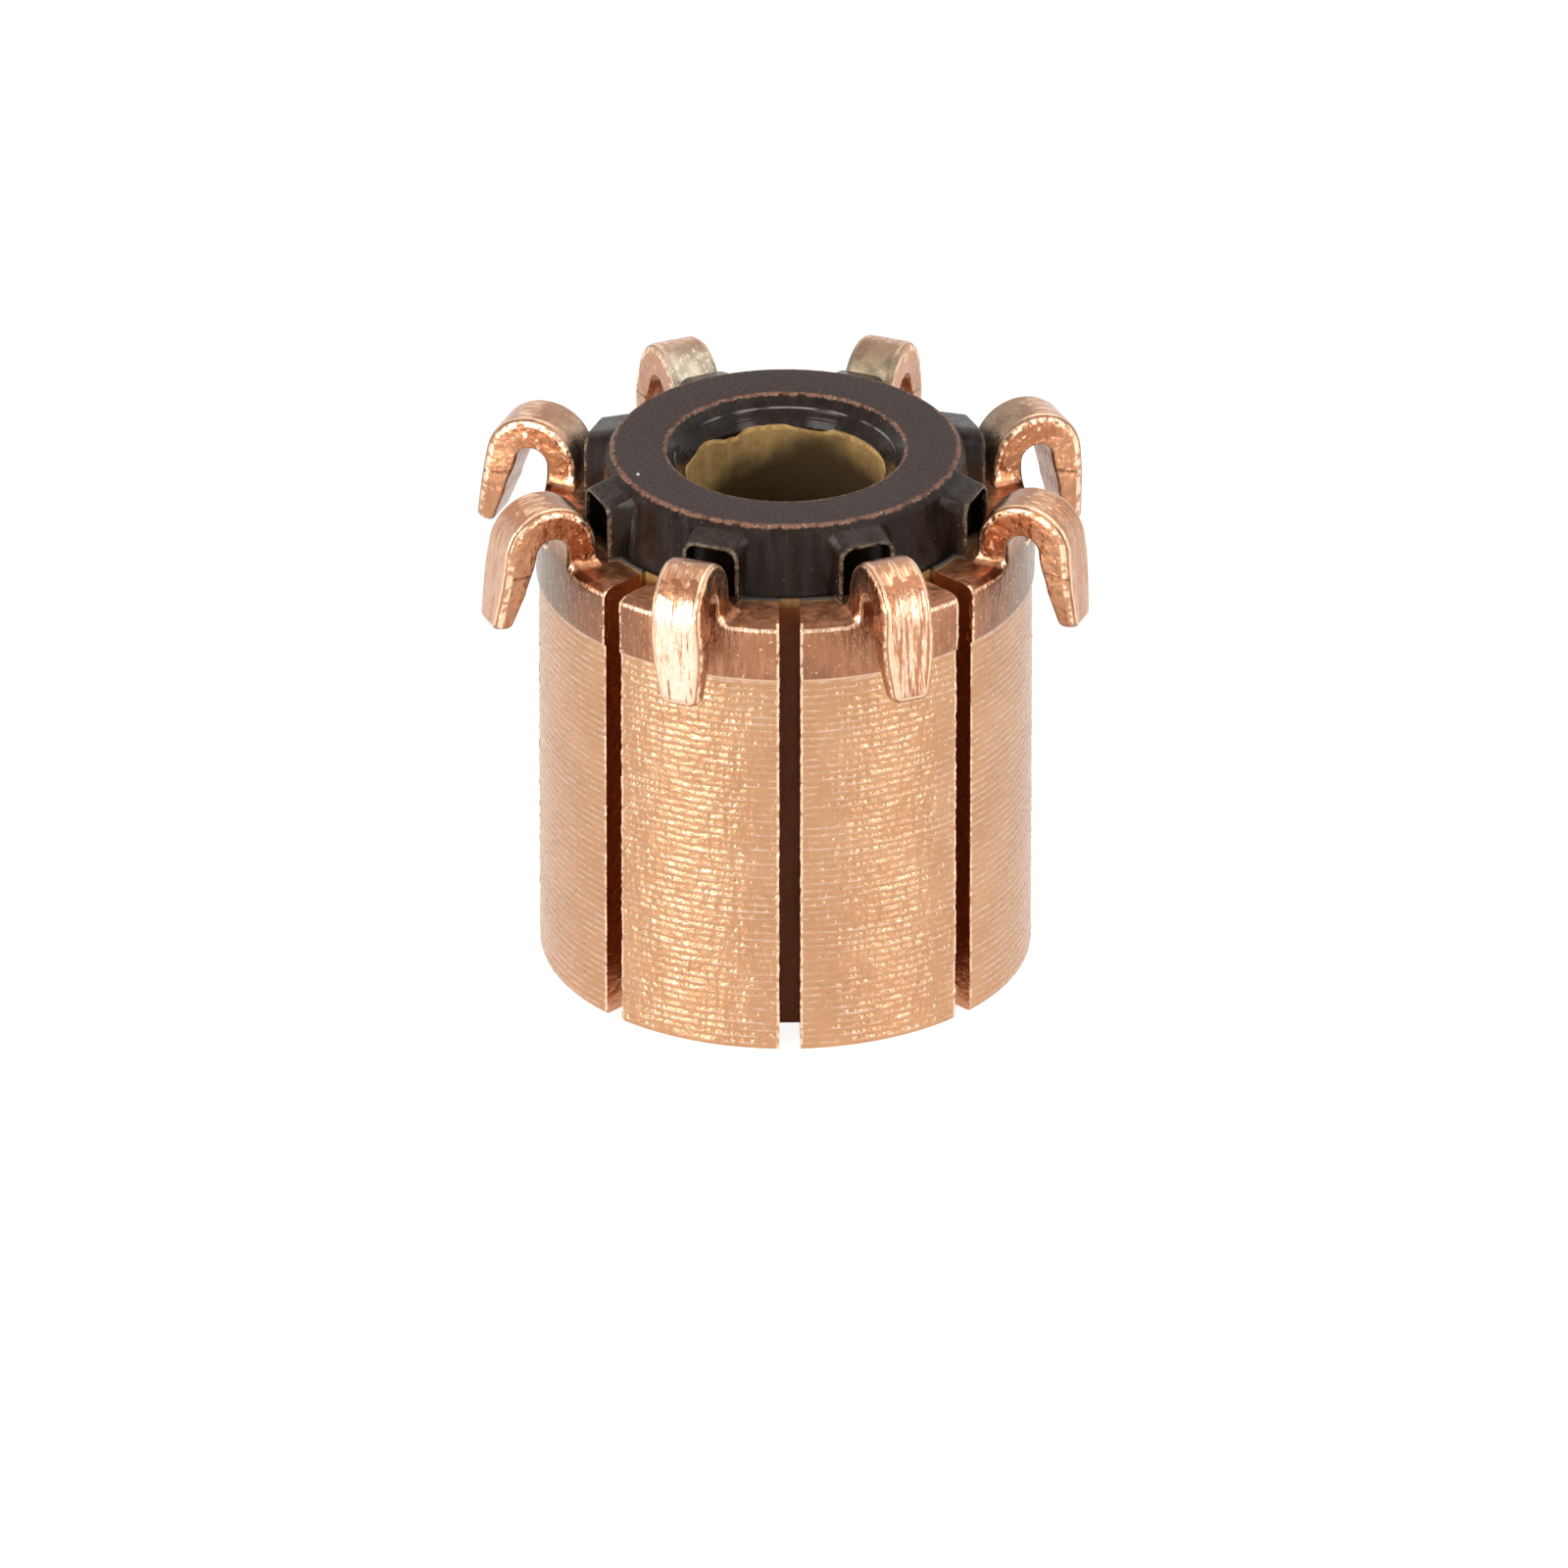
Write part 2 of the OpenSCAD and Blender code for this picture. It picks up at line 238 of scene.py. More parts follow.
class Graph:
    """Adds nodes to a tree and links them to the sockets or plain values that they are given."""

    def __init__(self, tree):
        self.tree = tree

    def feed(self, socket, value):
        """Links a socket to another, or sets its value."""
        if isinstance(value, NodeSocket):
            self.tree.links.new(value, socket)
        else:
            socket.default_value = value

    def add(self, kind, inputs=None, **settings):
        """Adds a node and returns it."""
        node = self.tree.nodes.new(kind)
        for key, value in settings.items():
            setattr(node, key, value)
        for key, value in (inputs or {}).items():
            self.feed(node.inputs[key], value)
        return node

    def math(self, operation, *values):
        """One Math node's result."""
        return self.add('ShaderNodeMath', dict(enumerate(values)), operation=operation).outputs[0]

    def times(self, first, *others):
        """The product of all values."""
        for other in others:
            first = self.math('MULTIPLY', first, other)
        return first

    def plus(self, first, *others):
        """The sum of all values."""
        for other in others:
            first = self.math('ADD', first, other)
        return first

    def minus(self, first, second):
        """The first value less the second."""
        return self.math('SUBTRACT', first, second)

    def most(self, first, *others):
        """The largest of all values."""
        for other in others:
            first = self.math('MAXIMUM', first, other)
        return first

    def apart(self, first, second):
        """How far two values are apart."""
        return self.math('ABSOLUTE', self.minus(first, second))

    def sway(self, value, pattern, width):
        """A value that a noise pattern pushes to either side."""
        return self.math('MULTIPLY_ADD', self.minus(pattern, 0.5), width, value)

    def vector(self, operation, *values):
        """One Vector Math node's result."""
        node = self.add('ShaderNodeVectorMath', dict(enumerate(values)), operation=operation)
        return node.outputs['Value' if operation in ('LENGTH', 'DOT_PRODUCT') else 'Vector']

    def scaled(self, vector, factor):
        """A vector times a number."""
        inputs = {'Vector': vector, 'Scale': factor}
        return self.add('ShaderNodeVectorMath', inputs, operation='SCALE').outputs[0]

    def split(self, vector):
        """The three parts of a vector."""
        return self.add('ShaderNodeSeparateXYZ', {0: vector}).outputs

    def join(self, x, y, z):
        """A vector from its three parts."""
        return self.add('ShaderNodeCombineXYZ', {0: x, 1: y, 2: z}).outputs[0]

    def fade(self, value, start, end, low=0.0, high=1.0):
        """A smooth step from low to high while value goes from start to end."""
        node = self.add('ShaderNodeMapRange', {0: value, 1: start, 2: end, 3: low, 4: high},
                        interpolation_type='SMOOTHSTEP')
        return node.outputs[0]

    def noise(self, vector, scale, detail=2.0, roughness=0.5, **more):
        """A noise pattern from 0 to 1, with one scale or one for each direction."""
        if isinstance(scale, tuple):
            vector = self.vector('MULTIPLY', vector, scale)
            scale = 1.0
        node = self.add('ShaderNodeTexNoise', noise_dimensions='4D' if more else '3D')
        inputs = {'Vector': vector, 'Scale': scale, 'Detail': detail, 'Roughness': roughness, **more}
        for name, value in inputs.items():
            self.feed(node.inputs[name], value)
        return node.outputs[0]

    def blend(self, factor, first, second, mode='MIX'):
        """A mix of two colours."""
        node = self.add('ShaderNodeMix', data_type='RGBA', blend_type=mode)
        self.feed(node.inputs['Factor'], factor)
        self.feed(node.inputs[6], first if isinstance(first, NodeSocket) else (*first, 1.0))
        self.feed(node.inputs[7], second if isinstance(second, NodeSocket) else (*second, 1.0))
        return node.outputs[2]

    def coats(self, ground, *layers):
        """A ground colour with others laid over it in turn, each given as its cover and its colour."""
        for cover, top in layers:
            ground = self.blend(cover, ground, top)
        return ground

    def attribute(self, name, output):
        """An attribute that was kept on the mesh."""
        return self.add('ShaderNodeAttribute', attribute_name=name).outputs[output]

    def object_mm(self):
        """The place on the object, in millimetres."""
        return self.scaled(self.add('ShaderNodeTexCoord').outputs['Object'], 1.0 / MM)

    def seen(self):
        """1 for the camera's rays and for mirrored and refracted ones, and 0 for the rest."""
        rays = self.add('ShaderNodeLightPath').outputs
        return self.most(rays['Is Camera Ray'], rays['Is Glossy Ray'], rays['Is Transmission Ray'])


def tone(rgb, factor):
    """A colour made darker or paler."""
    return [part * factor for part in rgb]


def between(first, second, share):
    """A value or point on the way from first to second."""
    return first + (second - first) * share


def shares(count):
    """Even shares from 0 to 1, in so many steps."""
    return [k / count for k in range(count + 1)]


def quarter(count):
    """Even angles over a quarter turn, in so many steps."""
    return [share * math.pi / 2 for share in shares(count)]


def ease(share):
    """A share that starts and ends gently."""
    share = min(max(share, 0.0), 1.0)
    return share * share * (3.0 - 2.0 * share)


class Section:
    """A section through the hook strip at a height above the bar end, in millimetres."""

    TIP_THINNING = 0.8
    FULL_ROUND = 2.2

    def __init__(self, blank, height):
        hook = blank.hook
        z = blank.top + height
        turn = math.acos(1 - min(height / hook.fillet, 1.0))
        self.riser_r = blank.riser_r
        self.settled = ease(height / hook.fillet)
        self.outline = Vector((blank.foot - hook.fillet * math.sin(turn), z))
        self.outward = Vector((math.sin(turn), math.cos(turn)))
        self.front = blank.front_x
        self.back = blank.back_x
        self.front_round = between(blank.bar.shoulder, hook.sheared, self.settled)
        self.back_round = hook.rolled * self.settled
        tip_z = blank.end_z - hook.tip
        if z > blank.leg_z:
            down = min((z - blank.leg_z) / (tip_z - blank.leg_z), 1.0)
            self.front -= (hook.thickness - hook.crease_t) * ease(down)
            self.outline[0] += hook.swell * math.sin(math.pi * down)
        if z > tip_z:
            down = (z - tip_z) / hook.tip
            self.front -= (hook.crease_t - hook.tip_t) * down
            self.outline[0] -= (hook.width - hook.tip_width) / 2 * down
        if blank.end_z - z < hook.tip_round:
            self.round_tip(hook.tip_round, blank.end_z - z)

    def round_tip(self, radius, left):
        """Draws the section in where less than the tip's rounding is left of the strip."""
        lost = radius - math.sqrt(max(radius ** 2 - (radius - left) ** 2, 0.0))
        self.outline[0] -= lost
        self.front -= self.TIP_THINNING * lost
        self.back += self.TIP_THINNING * lost
        limit = (self.front - self.back) / self.FULL_ROUND
        self.front_round = min(self.front_round, limit)
        self.back_round = min(self.back_round, limit)

    def front_at(self, y, depth):
        """Place along X of a point on the strip's front, which settles from round to flat."""
        curved = math.sqrt((self.riser_r - depth) ** 2 - y * y)
        return between(curved, self.front - depth, self.settled)


class BarBlank:
    """A copper bar as stamped, before its hook is bent: a closed mesh, in millimetres, along +X.

    X points away from the shaft, Y across the bar and Z along the shaft. The strip that
    becomes the hook still stands straight up.
    """

    CENTRE_COLUMNS = 14
    SIDE_COLUMNS = 10
    WALL_ROWS = 5
    SHELF_ROWS = 2
    ROUND_STEPS = 5
    FEED_ROWS = 5
    BEND_ROWS = 36
    LEG_ROWS = 8
    TIP_ROWS = 6
    WELD = 0.0005

    def __init__(self, settings):
        bar = Sizes(settings.bar)
        hook = Sizes(settings.hook)
        self.bar = bar
        self.hook = hook
        self.half_pitch = math.pi / len(BAR_NODES)
        self.top = bar.track_h + bar.riser_h
        self.inner_r = bar.track_r - bar.wall
        self.riser_r = bar.track_r + bar.riser_step
        self.front_x = self.riser_r - hook.setback
        self.back_x = self.front_x - hook.thickness
        self.foot = hook.width / 2 + hook.fillet
        self.bend_z = self.top + hook.rise
        self.bend_x = self.front_x + hook.gap / 2
        self.bend_length = math.pi * (hook.gap + hook.thickness) / 2
        self.leg_z = self.bend_z + self.bend_length
        self.end_z = self.leg_z + hook.leg

    def patch(self, rows):
        """Fills the grid between rows of points with faces."""
        grid = [[self.bm.verts.new(point) for point in row] for row in rows]
        for low, high in zip(grid, grid[1:]):
            for k in range(len(low) - 1):
                self.bm.faces.new((low[k], low[k + 1], high[k + 1], high[k]))

    def span(self, near, far, wall):
        """Fills the face between two rows across the bar, with its ends along the sawn sides."""
        rows = []
        for point, share in zip(wall, shares(len(wall) - 1)):
            row = [between(a, b, share) for a, b in zip(near, far)]
            rows.append([point] + row[1:-1] + self.mirror([point]))
        self.patch(rows)

    def side_y(self, r):
        """Half the bar's width at a radius, up to its sawn side."""
        return r * math.sin(self.half_pitch - math.asin(self.bar.slot / 2 / r))

    def on_arc(self, y, r, z):
        """A point at a radius, from its place across the bar."""
        return Vector((math.sqrt(r * r - y * y), y, z))

    def outer_half(self, r, z):
        """Points of the outer face from the strip's foot to the slot, rounded over its edge."""
        edge = self.bar.edge
        end = self.side_y(r) - edge
        face = [self.on_arc(between(self.foot, end, s), r, z) for s in shares(self.SIDE_COLUMNS)]
        turn = math.pi / 4
        middle = self.on_arc(end + edge * math.sin(turn), r - edge * (1 - math.cos(turn)), z)
        return face + [middle, self.on_arc(self.side_y(r - edge), r - edge, z)]

    def side_wall(self, r, z):
        """Points down the sawn side, from the rounded edge to the inner face."""
        shelf_r = math.hypot(self.back_x, self.foot)
        radii = [between(r - self.bar.edge, shelf_r, s) for s in shares(self.WALL_ROWS)]
        radii += [between(shelf_r, self.inner_r, s) for s in shares(self.SHELF_ROWS)[1:]]
        return [self.on_arc(self.side_y(q), q, z) for q in radii]

    def centre_row(self, half, make):
        """Points across the middle of the bar, from the right to the left."""
        return [make(between(half, -half, s)) for s in shares(self.CENTRE_COLUMNS)]

    def arc_row(self, r, z):
        """Points at a radius between the strip's feet, from the right to the left."""
        return self.centre_row(self.foot, lambda y: self.on_arc(y, r, z))

    def mirror(self, points):
        """The same points on the left of the bar, in the opposite order."""
        return [Vector((p.x, -p.y, p.z)) for p in reversed(points)]

    def across(self, half, middle):
        """A row across the whole bar from its right half, which starts at the strip, and its middle."""
        return half[::-1] + middle[1:-1] + self.mirror(half)[::-1]

    def inner_row(self, z):
        """Points across the inner face, from the right to the left."""
        end = self.side_y(self.inner_r)
        steps = shares(self.SIDE_COLUMNS + 2)
        half = [self.on_arc(between(self.foot, end, s), self.inner_r, z) for s in steps]
        return self.across(half, self.arc_row(self.inner_r, z))

    def back_loop(self, r, z):
        """Points round the bar from the strip's right foot past the inner face to its left foot."""
        right = self.outer_half(r, z) + self.side_wall(r, z)[1:]
        return right + self.inner_row(z)[1:-1] + self.mirror(right)

    def profile(self):
        """Height and radius of each row of the outer face, from the foot to the shoulder."""
        bar = self.bar
        count = round(bar.track_h / bar.feed) * self.FEED_ROWS
        step_low = bar.track_h - bar.riser_step / 2
        step_high = bar.track_h + bar.riser_step / 2
        end = self.top - bar.shoulder
        rows = [(0.0, bar.track_r - bar.foot_edge)]
        rows += [(between(bar.foot_edge, step_low, s), bar.track_r) for s in shares(count)]
        rows += [(between(step_high, end, s), self.riser_r) for s in shares(2 * self.ROUND_STEPS)]
        return rows

    def shoulder_rows(self):
        """Height and radius of each row of the rounded shoulder."""
        r = self.bar.shoulder
        return [(self.top - r * (1 - math.sin(a)), self.riser_r - r * (1 - math.cos(a)))
                for a in quarter(self.ROUND_STEPS)]

    def add_body(self):
        """The bar from its foot to its shoulder, with its foot closed."""
        profile = self.profile()
        self.patch([self.back_loop(r, z) + self.arc_row(r, z)[::-1][1:] for z, r in profile])
        self.patch([self.back_loop(r, z) for z, r in self.shoulder_rows()])
        z, r = profile[0]
        outer = self.across(self.outer_half(r, z), self.arc_row(r, z))
        self.span(outer, self.inner_row(z), self.side_wall(r, z))

    def add_top(self):
        """The flat bar end round the strip: both sides of it and the shelf behind it."""
        z, r = self.shoulder_rows()[-1]
        wall = self.side_wall(r, z)
        foot_line = self.strip_half(Section(self, 0.0))[self.ROUND_STEPS:][:self.WALL_ROWS + 1]
        rows = [self.outer_half(r, z)]
        columns = shares(len(rows[0]) - 1)
        for a, b in list(zip(foot_line, wall))[1:]:
            rows.append([between(a, b, s) for s in columns])
        self.patch(rows)
        self.patch([self.mirror(row) for row in rows])
        back = self.centre_row(self.foot, lambda y: Vector((self.back_x, y, z)))
        self.span(self.across(rows[-1], back), self.inner_row(z), wall[self.WALL_ROWS:])

    def strip_half(self, section):
        """Points round the strip's right side, from its front face to its back face."""
        outline = section.outline
        points = []
        for turn in quarter(self.ROUND_STEPS):
            y, z = outline - section.outward * section.front_round * (1 - math.sin(turn))
            depth = section.front_round * (1 - math.cos(turn))
            points.append(Vector((section.front_at(y, depth), y, z)))
        side_start = points[-1].x
        side_end = section.back + section.back_round
        for s in shares(self.WALL_ROWS)[1:]:
            points.append(Vector((between(side_start, side_end, s), *outline)))
        for turn in quarter(self.ROUND_STEPS)[1:]:
            y, z = outline - section.outward * section.back_round * (1 - math.cos(turn))
            points.append(Vector((section.back + section.back_round * (1 - math.sin(turn)), y, z)))
        return points

    def strip_loop(self, height):
        """Points all round the strip at a height above the bar end."""
        section = Section(self, height)
        right = self.strip_half(section)
        first = right[0]
        last = right[-1]
        back = self.centre_row(last.y, lambda y: Vector((last.x, y, last.z)))
        front = self.centre_row(-first.y, lambda y: Vector((section.front_at(y, 0.0), y, first.z)))
        return right + back[1:-1] + self.mirror(right) + front[1:]

    def strip_heights(self):
        """Heights of the strip's loops: close together at its root, round its bend and at its tip."""
        turns = quarter(2 * self.ROUND_STEPS)
        bend = self.bend_z - self.top
        leg = self.leg_z - self.top
        end = self.end_z - self.top
        tip = end - self.hook.tip
        tip_round = self.hook.tip_round
        heights = [self.hook.fillet * (1 - math.cos(a)) for a in turns]
        heights += [between(bend, bend + self.bend_length, s) for s in shares(self.BEND_ROWS)]
        heights += [between(leg, tip, s) for s in shares(self.LEG_ROWS)[1:]]
        heights += [between(tip, end - tip_round, s) for s in shares(self.TIP_ROWS)[1:]]
        heights += [end - tip_round * (1 - math.sin(a)) for a in turns[1:-1]]
        return heights

    def add_strip(self):
        """The straight strip with its closed end."""
        loops = [self.strip_loop(height) for height in self.strip_heights()]
        self.patch(loops)
        self.bm.faces.new([self.bm.verts.new(point) for point in loops[-1][:-1]])

    def mesh(self):
        """The finished blank as a mesh, in metres."""
        self.bm = bmesh.new()
        self.add_body()
        self.add_top()
        self.add_strip()
        bmesh.ops.remove_doubles(self.bm, verts=self.bm.verts, dist=self.WELD)
        bmesh.ops.dissolve_degenerate(self.bm, edges=self.bm.edges, dist=self.WELD)
        bmesh.ops.recalc_face_normals(self.bm, faces=self.bm.faces)
        bmesh.ops.scale(self.bm, verts=self.bm.verts, vec=(MM, MM, MM))
        return mesh_from(self.bm, "bar_blank")


def mesh_from(bm, name):
    """A smooth mesh of what was modelled, which is then let go."""
    mesh = bpy.data.meshes.new(name)
    bm.to_mesh(mesh)
    bm.free()
    mesh.shade_smooth()
    return mesh


def new_piece(name, mesh):
    """A new object in the scene, at the origin."""
    piece = bpy.data.objects.new(name, mesh)
    bpy.context.scene.collection.objects.link(piece)
    return piece


def new_tree(name, inputs):
    """An empty geometry tree with named inputs, given as name and socket type."""
    tree = bpy.data.node_groups.new(name, 'GeometryNodeTree')
    tree.interface.new_socket("Geometry", in_out='INPUT', socket_type='NodeSocketGeometry')
    for label, kind in inputs:
        tree.interface.new_socket(label, in_out='INPUT', socket_type=kind)
    tree.interface.new_socket("Geometry", in_out='OUTPUT', socket_type='NodeSocketGeometry')
    return tree


def apply_tree(piece, tree, values):
    """Runs a geometry tree on a piece with the values given by input name, and keeps the plain mesh."""
    modifier = piece.modifiers.new(tree.name, 'NODES')
    modifier.node_group = tree
    for item in tree.interface.items_tree:
        if item.in_out == 'INPUT' and item.name in values:
            modifier[item.identifier] = values[item.name]
    depsgraph = bpy.context.evaluated_depsgraph_get()
    mesh = bpy.data.meshes.new_from_object(piece.evaluated_get(depsgraph))
    piece.modifiers.clear()
    piece.data = mesh


def bar_tree():
    """Geometry tree that turns, burrs and bends a flat bar blank and sets it at its place round the hub."""
    numbers = ("Bar angle", "Half pitch", "Slot", "Track radius", "Track height", "Feed", "Feed depth",
               "Burr", "Bend start", "Bend centre", "Bend length", "Leg length", "Bend angle", "Lean")
    inputs = [(name, 'NodeSocketFloat') for name in numbers]
    inputs += [("Seed", 'NodeSocketInt'), ("Material", 'NodeSocketMaterial')]
    tree = new_tree("finish_copper_bar", inputs)
    graph = Graph(tree)
    fade, times, plus, minus = graph.fade, graph.times, graph.plus, graph.minus
    given = graph.add('NodeGroupInput').outputs
    shape = given["Geometry"]

    def shaped(kind, more, **options):
        """Passes the shape through one more node."""
        return graph.add(kind, {'Geometry': shape, **more}, **options).outputs[0]

    # The finish follows the place and direction that each point has on the flat blank
    place = graph.add('GeometryNodeInputPosition').outputs[0]
    facing = graph.add('GeometryNodeInputNormal').outputs[0]
    keep = 'GeometryNodeStoreNamedAttribute'
    shape = shaped(keep, {'Name': FLAT_PLACE, 'Value': place}, data_type='FLOAT_VECTOR')
    shape = shaped(keep, {'Name': FLAT_FACING, 'Value': facing}, data_type='FLOAT_VECTOR')

    # Turning lines on the brush track, broken into dashes
    x, y, z = graph.split(place)
    level = graph.join(x, y, 0.0)
    r = graph.vector('LENGTH', level)
    grain = graph.noise(place, (500.0, 500.0, 900.0), 1.0, W=given["Seed"])
    dashes = graph.noise(place, (1900.0, 1900.0, 2200.0), 2.0, W=given["Seed"])
    strength = times(fade(dashes, 0.36, 0.58, 0.2, 1.0), fade(grain, 0.3, 0.6, 0.55, 1.0))
    shell = minus(given["Track radius"], 0.02 * MM)
    upper = minus(given["Track height"], 0.1 * MM)
    on_track = times(graph.math('GREATER_THAN', r, shell), graph.math('LESS_THAN', z, upper))
    turns = times(graph.math('DIVIDE', z, given["Feed"]), math.tau)
    wave = graph.math('COSINE', plus(turns, times(grain, 3.0)))
    hollow = graph.math('POWER', graph.math('MULTIPLY_ADD', wave, -0.5, 0.5), 2.0)
    groove = times(on_track, given["Feed depth"], strength, hollow, -1.0)
    shape = shaped(keep, {'Name': TURNING_MARK, 'Value': times(wave, strength)}, data_type='FLOAT')

    # The saw's burr along the slots, which leans a little over them
    sine = graph.math('SINE', given["Half pitch"])
    cosine = graph.math('COSINE', given["Half pitch"])
    across = minus(times(x, sine), times(graph.math('ABSOLUTE', y), cosine))
    to_slot = minus(across, times(given["Slot"], 0.5))
    rag = graph.noise(place, (900.0, 900.0, 3200.0), 1.0, W=given["Seed"])
    outside = graph.math('GREATER_THAN', r, minus(given["Track radius"], 0.05 * MM))
    by_slot = times(fade(to_slot, 0.03 * MM, 0.16 * MM, 1.0, 0.0), outside)
    burr = times(by_slot, given["Burr"], fade(rag, 0.35, 0.7))
    to_side = graph.join(times(sine, -1.0), times(graph.math('SIGN', y), cosine), 0.0)
    lift = graph.scaled(graph.vector('NORMALIZE', level), plus(groove, burr))
    overhang = graph.scaled(to_side, times(burr, 0.8))
    shape = shaped('GeometryNodeSetPosition', {'Offset': graph.vector('ADD', lift, overhang)})

    # The strip is bent over into a hook, and its leg leans a little to one side
    start, centre, length = given["Bend start"], given["Bend centre"], given["Bend length"]
    past = minus(z, start)
    share = graph.math('MINIMUM', graph.most(graph.math('DIVIDE', past, length), 0.0), 1.0)
    turn = times(share, given["Bend angle"])
    sine = graph.math('SINE', turn)
    cosine = graph.math('COSINE', turn)
    down = graph.most(minus(past, length), 0.0)
    arm = minus(centre, x)
    bent_x = plus(minus(centre, times(arm, cosine)), times(down, sine))
    bent_z = plus(start, graph.math('MINIMUM', past, 0.0), plus(times(arm, sine), times(down, cosine)))
    half_bend = times(length, 0.5)
    reach = plus(half_bend, given["Leg length"])
    leaning = graph.most(graph.math('DIVIDE', minus(past, half_bend), reach), 0.0)
    bent_y = plus(y, times(leaning, given["Lean"]))
    shape = shaped('GeometryNodeSetPosition', {'Position': graph.join(bent_x, bent_y, bent_z)})

    # The bar goes to its place round the hub
    shape = shaped('GeometryNodeTransform', {'Rotation': graph.join(0.0, 0.0, given["Bar angle"])})
    shape = shaped('GeometryNodeRealizeInstances', {})
    shape = shaped('GeometryNodeSetMaterial', {'Material': given["Material"]})
    graph.add('NodeGroupOutput', {'Geometry': shape})
    return tree


class Finish:
    """A metal or plastic finish: a material with its graph and its shader."""

    def __init__(self, name):
        self.material = bpy.data.materials.new(name)
        self.material.use_nodes = True
        self.graph = Graph(self.material.node_tree)
        self.shader = self.material.node_tree.nodes["Principled BSDF"]

    def set(self, **inputs):
        """Sets or links the shader's inputs, with spaces written as underscores."""
        for name, value in inputs.items():
            self.graph.feed(self.shader.inputs[name.replace("_", " ")], value)

    def relief(self, height, depth):
        """Bump from a height between 0 and 1 and its depth in millimetres."""
        bump = self.graph.add('ShaderNodeBump', {'Height': height, 'Distance': depth * MM}).outputs[0]
        self.set(Normal=bump, Coat_Normal=bump)


